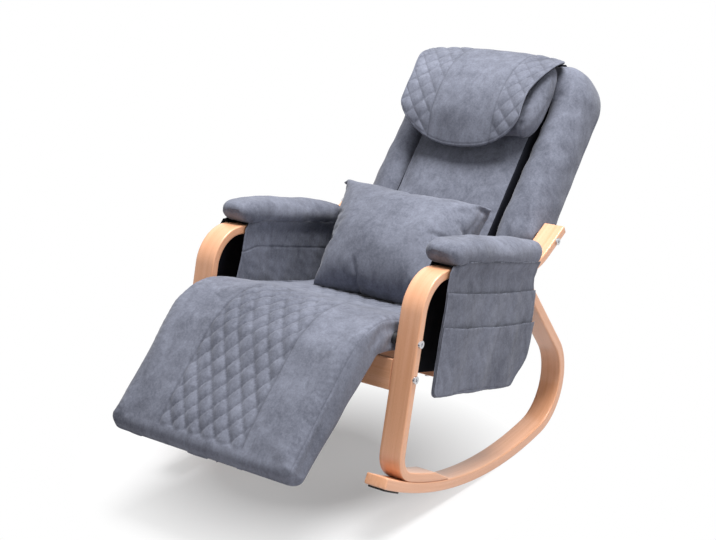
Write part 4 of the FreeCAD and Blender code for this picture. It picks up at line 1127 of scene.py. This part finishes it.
def back_cushion():
    """Grid of profile by outline: a point lies at the profile's share of the way from the outer outline
    to the inner one, and at the profile's depth. A first and last row close it at the middle."""
    outer = outline(BACK_HALF, 0.0, BACK_LENGTH, BACK_FOOT_R, BACK_TOP_R)
    inner = outline(GAP_HALF, GAP_LOW, GAP_HIGH, GAP_R / 2, GAP_R)
    profile = smooth_line(BORDER, 4 * len(BORDER))
    plan = outer + profile[:, 0, None, None] * (inner - outer)
    middle = np.broadcast_to([0.0, BACK_LENGTH / 2], outer.shape)[None]
    plan = np.concatenate([middle, plan, middle])
    depth = np.pad(profile[:, 1], 1, mode="edge")[:, None]
    around = run_along(outer)[None, :]
    row = np.linspace(0, 1, len(plan))[:, None]
    uv = np.stack(np.broadcast_arrays(around, 0.4 * row), -1)
    # The last rows, the walls of the gap to the mat, take the black lining as painted shade.
    black = (np.arange(len(plan) - 1) >= len(plan) - 1 - GAP_SHADE_ROWS).astype(int)[:, None]
    values = {"around": around, "row": row, "depth": depth}
    back = surface("back_cushion", on_back(plan[..., 0], plan[..., 1], depth), uv, values, black)
    row = value_of(back, "row")
    inflate(back, np.where((row < 0.2) | (row > 0.85), 1.0, 0.0), 4.0, 0.008)
    refine(back, 1)
    row, a, d = (value_of(back, key) for key in ("row", "around", "depth"))
    free = ease(row, 0.12, 0.3) * ease(0.95 - row, 0, 0.12)
    seam = groove(row - BACK_SEAM_ROW, 0.006)
    emboss(back, free * ripples(a, d, BACK_SWELL) - BACK_SEAM_DEPTH * seam)
    cover_stubs(back)
    return back


back = back_cushion()
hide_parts("back_shell")
dress(back, "chair", "grey_suede", SUEDE, LINING_AND_GAP_SHADE)

# %% Massage mat
MAT_LEFT = 0.1505
MAT_RIGHT = -0.1525
MAT_LOW = 0.014
MAT_HIGH = 0.558
MAT_FACE = 0.0135
MAT_THICK = 0.043
MAT_CROWN = 0.004
MAT_END = 0.010
MAT_CORNER = 0.007
MAT_SEAM_INSET = 0.014
STITCH = 0.0022
STITCH_DEPTH = 0.0012
MAT_SWELL = ((0.0012, 0.11, 31), (0.0006, 0.04, 32))


def massage_mat():
    """Flat pad with a low crown between its ends and a sewn line along both long sides."""
    run = with_ends(np.linspace(MAT_LOW, MAT_HIGH, 60), MAT_END)
    line = in_side_plane(np.column_stack([np.full(len(run), MAT_THICK / 2 - MAT_FACE), run]))
    up = np.tile([0.0, -1.0, 0.0], (len(run), 1))
    lack = end_rounding(run, MAT_END)
    half = (MAT_LEFT - MAT_RIGHT) / 2
    sizes = (half - lack, MAT_THICK / 2 - lack, MAT_CORNER)
    # Its upright sides take the black lining as painted shade in the gap round the mat.
    mat = tube("massage_mat", run, line, up, *sizes, ring(27, 4, 5), painted_shade_sides=True)
    put_places(mat, BACK.out(places_of(mat) + [(MAT_LEFT + MAT_RIGHT) / 2, 0, 0]))
    face = value_of(mat, "face")
    inflate(mat, np.where(face < 0.5, 1.0, 0.0), 3.0, 0.005)
    refine(mat, 1)
    x, s, face = (value_of(mat, key) for key in ("side", "run", "face"))
    crown = MAT_CROWN * (1 - (x / half) ** 4) * ease(s, 0.18, 0.25) * ease(0.42 - s, 0, 0.06)
    seam = twin_groove(x, half - MAT_SEAM_INSET, STITCH)
    emboss(mat, np.clip(face, 0, 1) * (crown + ripples(x, s, MAT_SWELL) - STITCH_DEPTH * seam))
    return mat


mat = massage_mat()
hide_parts("back_mat")
dress(mat, "chair", "grey_suede", SUEDE, LINING_AND_GAP_SHADE)

# %% [markdown]
# ## The neck pillow and its flap
#
# The pillow is a bolster that lies across the top of the back: a lens-shaped section carried from
# side to side, which shrinks into round ends. Over it hangs a quilted flap with a curved hem.

# %% Neck pillow
PILLOW_HALF = 0.186
PILLOW_MIDDLE = (0.042, 0.541)
PILLOW_DEPTH = 0.036
PILLOW_HEIGHT = 0.108
PILLOW_POWER = 2.4
PILLOW_END = 0.040
PILLOW_REAR = 0.005
PILLOW_SAG = 0.026
SAG_HALF = 0.060
PILLOW_SEAM_X = 0.150
PILLOW_SEAM_DEPTH = 0.0016
PILLOW_PUCKER = 0.0012
PILLOW_SWELL = 0.0018


def neck_pillow():
    """Superellipse section, with a flat back, scaled along X by a quarter-round at both ends.

    Its lower half sags in the middle, where the motor lies in it.
    """
    x = with_ends(np.linspace(-PILLOW_HALF, PILLOW_HALF, 44), PILLOW_END, 9)
    near = np.clip(1 - np.minimum(x + PILLOW_HALF, PILLOW_HALF - x) / PILLOW_END, 0, 1)
    scale = np.sqrt(np.maximum(1 - near**2.3, 0))[:, None]
    turn = np.linspace(0, 2 * np.pi, 65)
    c, s = np.cos(turn), np.sin(turn)
    power = 2 / PILLOW_POWER
    d = PILLOW_MIDDLE[0] + scale * PILLOW_DEPTH * np.sign(c) * np.abs(c) ** power
    u = PILLOW_MIDDLE[1] + scale * PILLOW_HEIGHT * np.sign(s) * np.abs(s) ** power
    u = u - PILLOW_SAG * groove(x[:, None], SAG_HALF) * np.sqrt(np.clip(-s, 0, 1))
    d = np.maximum(d, PILLOW_REAR)
    points = on_back(x[:, None], u, d)
    uv = np.stack(np.broadcast_arrays(x[:, None], turn[None, :] * 0.1), -1)
    pillow = surface("neck_bolster", points, uv, {"across": x[:, None], "turn": turn[None, :]})
    depth = -BACK.into(places_of(pillow))[:, 1]
    inflate(pillow, np.where(depth < 0.012, 1.0, 0.0), 4.0, 0.006)
    refine(pillow, 1)
    x, turn = value_of(pillow, "across"), value_of(pillow, "turn")
    puckers = np.sin(22 * turn + 2 * np.sin(3 * turn)) * twin_groove(x, PILLOW_SEAM_X, 0.012)
    sewn = PILLOW_PUCKER * puckers - PILLOW_SEAM_DEPTH * twin_groove(x, PILLOW_SEAM_X, STITCH)
    emboss(pillow, PILLOW_SWELL * waves(x, turn * 0.08, 0.10, 41) + sewn)
    return pillow


pillow = neck_pillow()
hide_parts("neck_pillow")
dress(pillow, "chair", "grey_suede", SUEDE)

# %% Leaves: thin sheets with two sides


def grid_normals(points):
    """Unit normals of a grid of points: the cross product of the steps along its two directions."""
    along = np.gradient(points, axis=0)
    across = np.gradient(points, axis=1)
    normal = np.cross(along, across)
    return normal / np.maximum(np.linalg.norm(normal, axis=-1, keepdims=True), 1e-12)


def border_distance(points):
    """Distance of every point of a grid to the nearest of its borders, along the grid's own lines."""
    down = np.linalg.norm(np.diff(points, axis=0), axis=-1)
    over = np.linalg.norm(np.diff(points, axis=1), axis=-1)
    down = np.pad(np.cumsum(down, axis=0), ((1, 0), (0, 0)))
    over = np.pad(np.cumsum(over, axis=1), ((0, 0), (1, 0)))
    rows = np.minimum(down, down[-1:] - down)
    columns = np.minimum(over, over[:, -1:] - over)
    return np.minimum(rows, columns), down, over


def round_both(front, rear):
    """Columns of the front, those of the rear backwards, and the first column again."""
    return np.concatenate([front, rear[:, ::-1], front[:, :1]], axis=1)


def leaf(name, points, thick, edge, values=None):
    """Sheet of the given thickness about a grid, thinning to nothing in a quarter-round at its border.

    The front lies half a thickness along the normal and the back as far the other way.
    """
    normal = grid_normals(points)
    near, down, over = border_distance(points)
    lack = np.clip(1 - near / edge, 0, 1)
    half = (thick / 2 * np.sqrt(1 - lack**2))[..., None]
    both = round_both(points + normal * half, points - normal * half)
    count = points.shape[1]
    kept = {"drop": down, "over": over, "near": near, **(values or {})}
    for key, value in kept.items():
        grid = np.broadcast_to(value, points.shape[:2])
        kept[key] = round_both(grid, grid)
    kept["side"] = np.concatenate([np.ones(count), -np.ones(count), [1.0]])[None, :]
    uv = np.stack([kept["over"] + (kept["side"] < 0) * 2.0, kept["drop"]], -1)
    parts = np.concatenate([np.zeros(count), np.ones(count)]).astype(int)[None, :]
    return surface(name, both, uv, kept, parts)


# %% Neck flap
FLAP_HALF = 0.172
FLAP_FLARE = 0.022
FLAP_SHIFT = -0.015
FLAP_DROOP = 0.013
FLAP_THICK = 0.007
FLAP_EDGE = 0.005
FLAP_ROOT_INSET = 0.020
FLAP_CURL = 0.005
FLAP_SIDE_SHARE = 0.76
FLAP_LINE = [
    (-0.027, 0.6900), (-0.018, 0.6935), (-0.005, 0.6930), (0.010, 0.6880), (0.028, 0.678),
    (0.046, 0.662), (0.066, 0.634), (0.086, 0.594), (0.0985, 0.550), (0.102, 0.505),
    (0.094, 0.455), (0.076, 0.415), (0.056, 0.376),
]
FLAP_SEAM_X = 0.088
FLAP_SEAM_SHIFT = 0.010
FLAP_DIAMOND = (0.044, 0.052)
FLAP_PUFF = 0.0032
FLAP_MEAN = 0.62
FLAP_WAVE = 0.0025
FLAP_RIPPLE = 0.0006
HEM = 0.009


def neck_flap():
    """Sheet that follows the pillow from the top edge of the back to a hem shaped as a superellipse."""
    line, run = evenly(smooth_line(FLAP_LINE, 200), 0.004)
    share = np.sin(np.linspace(-1, 1, 81) * np.pi / 2)
    curve = (1 - np.abs(share) ** 2.2) ** (1 / 1.5)
    hem = run[-1] * (FLAP_SIDE_SHARE + (1 - FLAP_SIDE_SHARE) * curve)
    reach = np.linspace(0, 1, 90)[:, None] * hem[None, :]
    d = np.interp(reach, run, line[:, 0])
    u = np.interp(reach, run, line[:, 1])
    half = FLAP_HALF - FLAP_ROOT_INSET + (FLAP_FLARE + FLAP_ROOT_INSET) * ease(reach, 0.0, 0.08)
    half = half - FLAP_FLARE * ease(reach, 0.12, 0.24)
    x = share[None, :] * half
    outer = np.abs(share)[None, :]
    u = u - FLAP_DROOP * outer**3 * ease(reach, 0.0, 0.03) * ease(0.17 - reach, 0.0, 0.11)
    curl = FLAP_CURL * outer**7 * ease(reach, 0.05, 0.14)
    d = d + curl + FLAP_WAVE * waves(x, reach, 0.13, 51) * ease(reach, 0.03, 0.1)
    points = on_back(x + FLAP_SHIFT, u, d)
    flap = leaf("neck_cover_flap", points, FLAP_THICK, FLAP_EDGE, {"across": x})
    refine(flap, 1)
    x, s, near, side = (value_of(flap, key) for key in ("across", "drop", "near", "side"))
    puff = diamonds(x, s, FLAP_DIAMOND)
    x = x - FLAP_SEAM_SHIFT
    zone = ease(np.abs(x), FLAP_SEAM_X, FLAP_SEAM_X + 0.006)
    zone = zone * ease(near, 0.004, 0.014) * ease(s, 0.03, 0.05)
    seam = twin_groove(x, FLAP_SEAM_X, STITCH) + 0.7 * groove(near - HEM, 0.0016)
    front = np.clip(side, 0, 1)
    quilt = FLAP_PUFF * (np.sqrt(puff) - FLAP_MEAN) * zone
    emboss(flap, front * (quilt - STITCH_DEPTH * seam + FLAP_RIPPLE * waves(x, s, 0.05, 52)))
    # Painted shade in the quilting's seams, the two sewn lines and the hem.
    mark(flap, "crease", front * np.maximum(0.32 * groove(puff, STITCH_SHARE) * zone, 0.45 * seam))
    return flap


flap = neck_flap()
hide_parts("neck_flap")
dress(flap, None, "grey_suede", SUEDE, LINING_AND_GAP_SHADE)
flap_root, flap_free = on_back(0.0, FLAP_LINE[0][1], [FLAP_LINE[0][0], FLAP_LINE[3][0]])
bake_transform(flap)

# %% [markdown]
# ## The lumbar pillow
#
# A loose pillow is two flat rectangles sewn together at the edge and stuffed. Modelled that way,
# the cloth simulation gives the rest: the sides pull in, the corners stay out as points and the
# seam puckers. Afterwards it is flattened where it leans on the back and stands on the seat.

# %% Lumbar pillow
LUMBAR_X = -0.031
LUMBAR_WIDTH = 0.452
LUMBAR_HEIGHT = 0.357
LUMBAR_DEPTH = 0.134
LUMBAR_LOW = -0.125
LUMBAR_TILT = np.radians(14.0)
LUMBAR_CROWN = 0.060
LUMBAR_TAPER = 0.10
LUMBAR_LEAN = 0.078
LUMBAR_REST = 0.019
LUMBAR_SWELL = 0.0020
PIPING = 0.004
PIPING_HEIGHT = 0.0006
PIPING_INSET = 0.010
PIPING_DIP = 0.001
SEAT_REST_Z = 0.3735


def lumbar_cushion():
    """Two leaning rectangles parted by a crown, blown up, and pressed flat where they rest."""
    across = np.linspace(-0.5, 0.5, 75) * LUMBAR_WIDTH
    upward = np.linspace(-0.5, 0.5, 51) * LUMBAR_HEIGHT
    x, u = np.meshgrid(across, upward)
    d = LUMBAR_DEPTH - np.sin(LUMBAR_TILT) * u
    dome = (1 - (2 * x / LUMBAR_WIDTH) ** 2) * (1 - (2 * u / LUMBAR_HEIGHT) ** 2)
    crown = LUMBAR_CROWN * dome**0.6
    low = 0.5 - u / LUMBAR_HEIGHT
    leaning = LUMBAR_X + x * (1 - LUMBAR_TAPER * low) + LUMBAR_LEAN * low
    upright = u + LUMBAR_LOW + LUMBAR_HEIGHT / 2
    grid = round_both(on_back(leaning, upright, d + crown), on_back(leaning, upright, d - crown))
    values = {"across": round_both(x, x), "upward": round_both(u, u)}
    cushion = surface("lumbar_cushion", grid, np.stack(list(values.values()), -1), values)
    inflate(cushion, np.zeros(len(cushion.data.vertices)), 22.0, 0.045, 12.0, 30)
    refine(cushion, 1)
    x, u = value_of(cushion, "across"), value_of(cushion, "upward")
    near = np.minimum(LUMBAR_WIDTH / 2 - np.abs(x), LUMBAR_HEIGHT / 2 - np.abs(u))
    sewn = PIPING_HEIGHT * groove(near, PIPING) - PIPING_DIP * groove(near - PIPING_INSET, PIPING)
    emboss(cushion, LUMBAR_SWELL * waves(x, u, 0.09, 61) * ease(near, 0, 0.03) + sewn)
    local = BACK.into(places_of(cushion))
    local[:, 1] = np.minimum(local[:, 1], -LUMBAR_REST)
    points = UPRIGHT.into(BACK.out(local))
    points[:, 2] = np.maximum(points[:, 2], SEAT_REST_Z)
    put_places(cushion, UPRIGHT.out(points))
    return cushion


lumbar = lumbar_cushion()
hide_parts("lumbar_pillow")
dress(lumbar, "lumbar_pillow", "grey_suede", SUEDE)

# %% [markdown]
# ## The arm pads
#
# A pad is a rounded loaf of foam on the flat part of the arm. Its underside follows the arm, which
# starts to rise under the rear end. One pad is inflated, and the other is its mirror image.

# %% Arm pads
ARM_PAD_HALF = 0.047
ARM_PAD_FRONT = -0.148
ARM_PAD_REAR = 0.246
ARM_PAD_UNDER = 0.4995
ARM_PAD_HEIGHT = 0.057
ARM_PAD_END = 0.030
ARM_PAD_NOSE = 0.006
ARM_PAD_CORNER = 0.021
NOSE_RUN = 0.030
TOP_RUN = 0.08
TOP_FALL = 0.010
PAD_SWELL = 0.0014
PAD_RIPPLE = 0.0007


def arm_pad():
    """Rounded section along the arm, whose underside follows the arm's rise and lifts at the nose."""
    run = with_ends(np.linspace(ARM_PAD_FRONT, ARM_PAD_REAR, 52), ARM_PAD_END, 7)
    dip = np.maximum(run - ARM_DIP_Y, 0)
    rise = ARM_DIP_R - np.sqrt(ARM_DIP_R**2 - dip**2)
    under = np.maximum(ARM_PAD_UNDER, ARM_TOP_Z + rise + 0.002)
    under = under + ARM_PAD_NOSE * ease(ARM_PAD_FRONT + NOSE_RUN - run, 0.0, NOSE_RUN)
    top = ARM_PAD_UNDER + ARM_PAD_HEIGHT
    top = top - TOP_FALL * ease(ARM_PAD_FRONT + TOP_RUN - run, 0.0, TOP_RUN)
    lack = end_rounding(run, ARM_PAD_END)
    line = in_side_plane(np.column_stack([run, (under + top) / 2]))
    up = np.tile([0.0, 0.0, 1.0], (len(run), 1))
    tall = (top - under) / 2 * (1 - 0.86 * lack / ARM_PAD_END)
    wide = ARM_PAD_HALF - 0.9 * lack
    pad = tube("left_arm_cushion", run, line, up, wide, tall, ARM_PAD_CORNER, ring(11, 5, 6))
    face, place = value_of(pad, "face"), value_of(pad, "run")
    ends = np.minimum(place - ARM_PAD_FRONT, ARM_PAD_REAR - place) < 0.6 * ARM_PAD_END
    inflate(pad, np.where((face < -0.2) | ends, 1.0, 0.0), 4.0, 0.005)
    refine(pad, 1)
    s, x, face, lift = (value_of(pad, key) for key in ("run", "side", "face", "lift"))
    swell = PAD_SWELL * waves(s, x, 0.09, 71) + PAD_RIPPLE * waves(s, x + lift, 0.035, 72)
    emboss(pad, ease(face, -0.9, 0.0) * swell)
    return pad


def mirror_copy(obj, name):
    """Mirror image of a piece across the middle plane, with its faces turned outwards again."""
    twin = add_object(name, obj.data.copy())
    put_places(twin, places_of(obj) * [-1, 1, 1])
    twin.data.flip_normals()
    return twin


pad = arm_pad()
put_places(pad, UPRIGHT.out(places_of(pad) + [FRAME_X, 0, 0]))
for side, cushion in (("left", pad), ("right", mirror_copy(pad, "right_arm_cushion"))):
    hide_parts(side + "_arm_pad")
    dress(cushion, "chair", "grey_suede", SUEDE)

# %% Strips under the pads
BASE_HALF = 0.026
BASE_FRONT = -0.096
BASE_REAR = 0.160
BASE_LOW = ARM_TOP_Z + 0.0004
BASE_THICK = 0.0056
BASE_ROUND = 0.001

for side, sign in SIDES.items():
    run = np.linspace(BASE_FRONT, BASE_REAR, 12)
    line = in_side_plane(np.column_stack([run, np.full(len(run), BASE_LOW + BASE_THICK / 2)]))
    up = np.tile([0.0, 0.0, 1.0], (len(run), 1))
    sizes = (BASE_HALF, BASE_THICK / 2, BASE_ROUND)
    base = tube(side + "_pad_strip", run, line, up, *sizes, ring(5, 3, 3))
    put_places(base, UPRIGHT.out(places_of(base) + [sign * FRAME_X, 0, 0]))
    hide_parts(side + "_pad_base")
    dress(base, "chair", "black_plastic", FINISHES["black_plastic"])

# %% [markdown]
# ## The hanging flaps and their pockets
#
# Cloth panels hang from both sides of each arm. The outer one carries two pockets, one over the
# other, whose hems sag a little between the side seams. The wrong side of the cloth is black.
# Each panel is a leaf over the way along the arm and the height, with soft vertical folds.

# %% Flaps
OUTER_X = 0.3185
INNER_X = 0.2530
CLOTH = 0.0024
CLOTH_EDGE = 0.0016
POCKET_STEP = 0.0026
FLAP_TOP = 0.5140
FLAP_FLARE_OUT = 0.0115
FLAP_TUCK = 0.012
PANELS = {
    "outer_flap": (OUTER_X, -0.149, 0.231, 0.217, FLAP_TOP, 0),
    "upper_pocket": (OUTER_X, -0.148, 0.230, 0.219, 0.446, 1),
    "lower_pocket": (OUTER_X, -0.147, 0.229, 0.220, 0.372, 2),
    "inner_flap": (INNER_X, -0.132, 0.216, 0.255, FLAP_TOP, 0),
}
FOLD_LENGTH = 0.115
FOLD_HEIGHT = 0.0026
BOTTOM_R = 0.018
CORNER_CUT = 0.010
REAR_CUT = 0.046
REAR_SPREAD = 0.018
FRONT_SPREAD = 0.020
BULGE = 0.0030
GAPE = 0.0030
HEM_SAG = 0.004
TUCK_SHARE = 0.16
FLARE_DROP = 0.035
BAND_DROP = 0.072
TOP_SHADOW_WIDTH = 0.0065
HEM_WIDTH = 0.0014
HEM_DEPTH = 0.0008
CLOTH_WAVE = 0.0007
CLOTH_RIPPLE = 0.0005


def hanging_panel(name, x, front, rear, low, high, layer, outward):
    """Grid over y and z. Soft folds in X grow downwards, and pockets bulge between their seams."""
    over = np.linspace(0, 1, 76)[None, :]
    drop = np.linspace(0, 1, 61)[:, None]
    level = FLAP_TOP - high + (high - low) * drop
    arch = 4 * over * (1 - over)
    from_foot = np.clip((high - low) * (1 - drop) / BOTTOM_R, 0, 1)
    inset = BOTTOM_R * (1 - np.sqrt(1 - (1 - from_foot) ** 2))
    first = front + inset + CORNER_CUT * ease(0.022 - level, 0, 0.022)
    last = rear - inset
    if outward > 0:
        last = last + REAR_SPREAD * ease(level, 0.0, 0.15)
        last = last - REAR_CUT * ease(level, 0.19, 0.29) ** 2
    else:
        first = first - FRONT_SPREAD * ease(level, 0.06, 0.25)
    y = first + over * (last - first)
    tuck = ease(over, 0.0, TUCK_SHARE)
    sag = HEM_SAG * arch if layer else FLAP_TUCK * (1 - tuck)
    z = high - (high - low) * drop - sag * (1 - drop) ** 2
    fold = np.sin(2 * np.pi * y / FOLD_LENGTH + 0.7 * np.sin(11 * z))
    fold = fold * (0.2 + 0.8 * ease(level, 0.02, 0.25))
    swell = FOLD_HEIGHT * fold + CLOTH_WAVE * waves(y, z, 0.06, 81)
    flare = FLAP_FLARE_OUT * ease(FLARE_DROP - level, 0.0, FLARE_DROP) * tuck
    gape = GAPE * np.abs(np.sin(2.5 * np.pi * over)) * (1 - drop) ** 3
    pouch = layer * (POCKET_STEP + gape + BULGE * arch**0.7 * (1 - drop**4))
    points = np.stack(np.broadcast_arrays(x + outward * (swell + flare + pouch), y, z), -1)
    if outward < 0:
        points = points[:, ::-1]
    panel = leaf(name, points, CLOTH, CLOTH_EDGE)
    refine(panel, 1)
    near, s, across, face = (value_of(panel, key) for key in ("near", "drop", "over", "side"))
    hem = groove(near - HEM, HEM_WIDTH) * (s > 0.02)
    # Painted shadow along the top edge: under the arm pad on a flap, under the pocket's rim on a pocket.
    rim = 0.7 * groove(s, STITCH) if layer else groove(s, TOP_SHADOW_WIDTH)
    if outward < 0:
        hem = np.maximum(hem, 1.6 * groove(s - BAND_DROP, STITCH))
    front_side = np.clip(face, 0, 1)
    ripple = CLOTH_RIPPLE * waves(across, s, 0.03, 85 + layer)
    emboss(panel, front_side * (ripple - HEM_DEPTH * hem))
    # Painted shade in the hems' sewn lines, and the painted shadow along the top.
    mark(panel, "crease", front_side * np.maximum(0.22 * hem, rim))
    put_places(panel, UPRIGHT.out(places_of(panel)))
    return panel


for node, (x, front, rear, low, high, layer) in PANELS.items():
    outward = -1 if node == "inner_flap" else 1
    name = node + "_cloth"
    size = (rear - front, high - low)
    panel = hanging_panel("left_" + name, x, front, rear, low, high, layer, outward)
    for side, cloth in (("left", panel), ("right", mirror_copy(panel, "right_" + name))):
        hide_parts(side + "_" + node)
        side + "_arm_pad"
        dress(cloth, "chair", "grey_suede", SUEDE, LINING_AND_GAP_SHADE)

# %% [markdown]
# ## Sizes
#
# The dressed chair has to stay in the box of its solids, apart from what cloth may stand proud.
# Both boxes are printed side by side.

# %% Write the sizes and finish
boxes = {"cad": CAD_BOX, "visual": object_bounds()}
for key, pair in boxes.items():
    print(key, "box:", [[round(value, 4) for value in corner] for corner in pair])
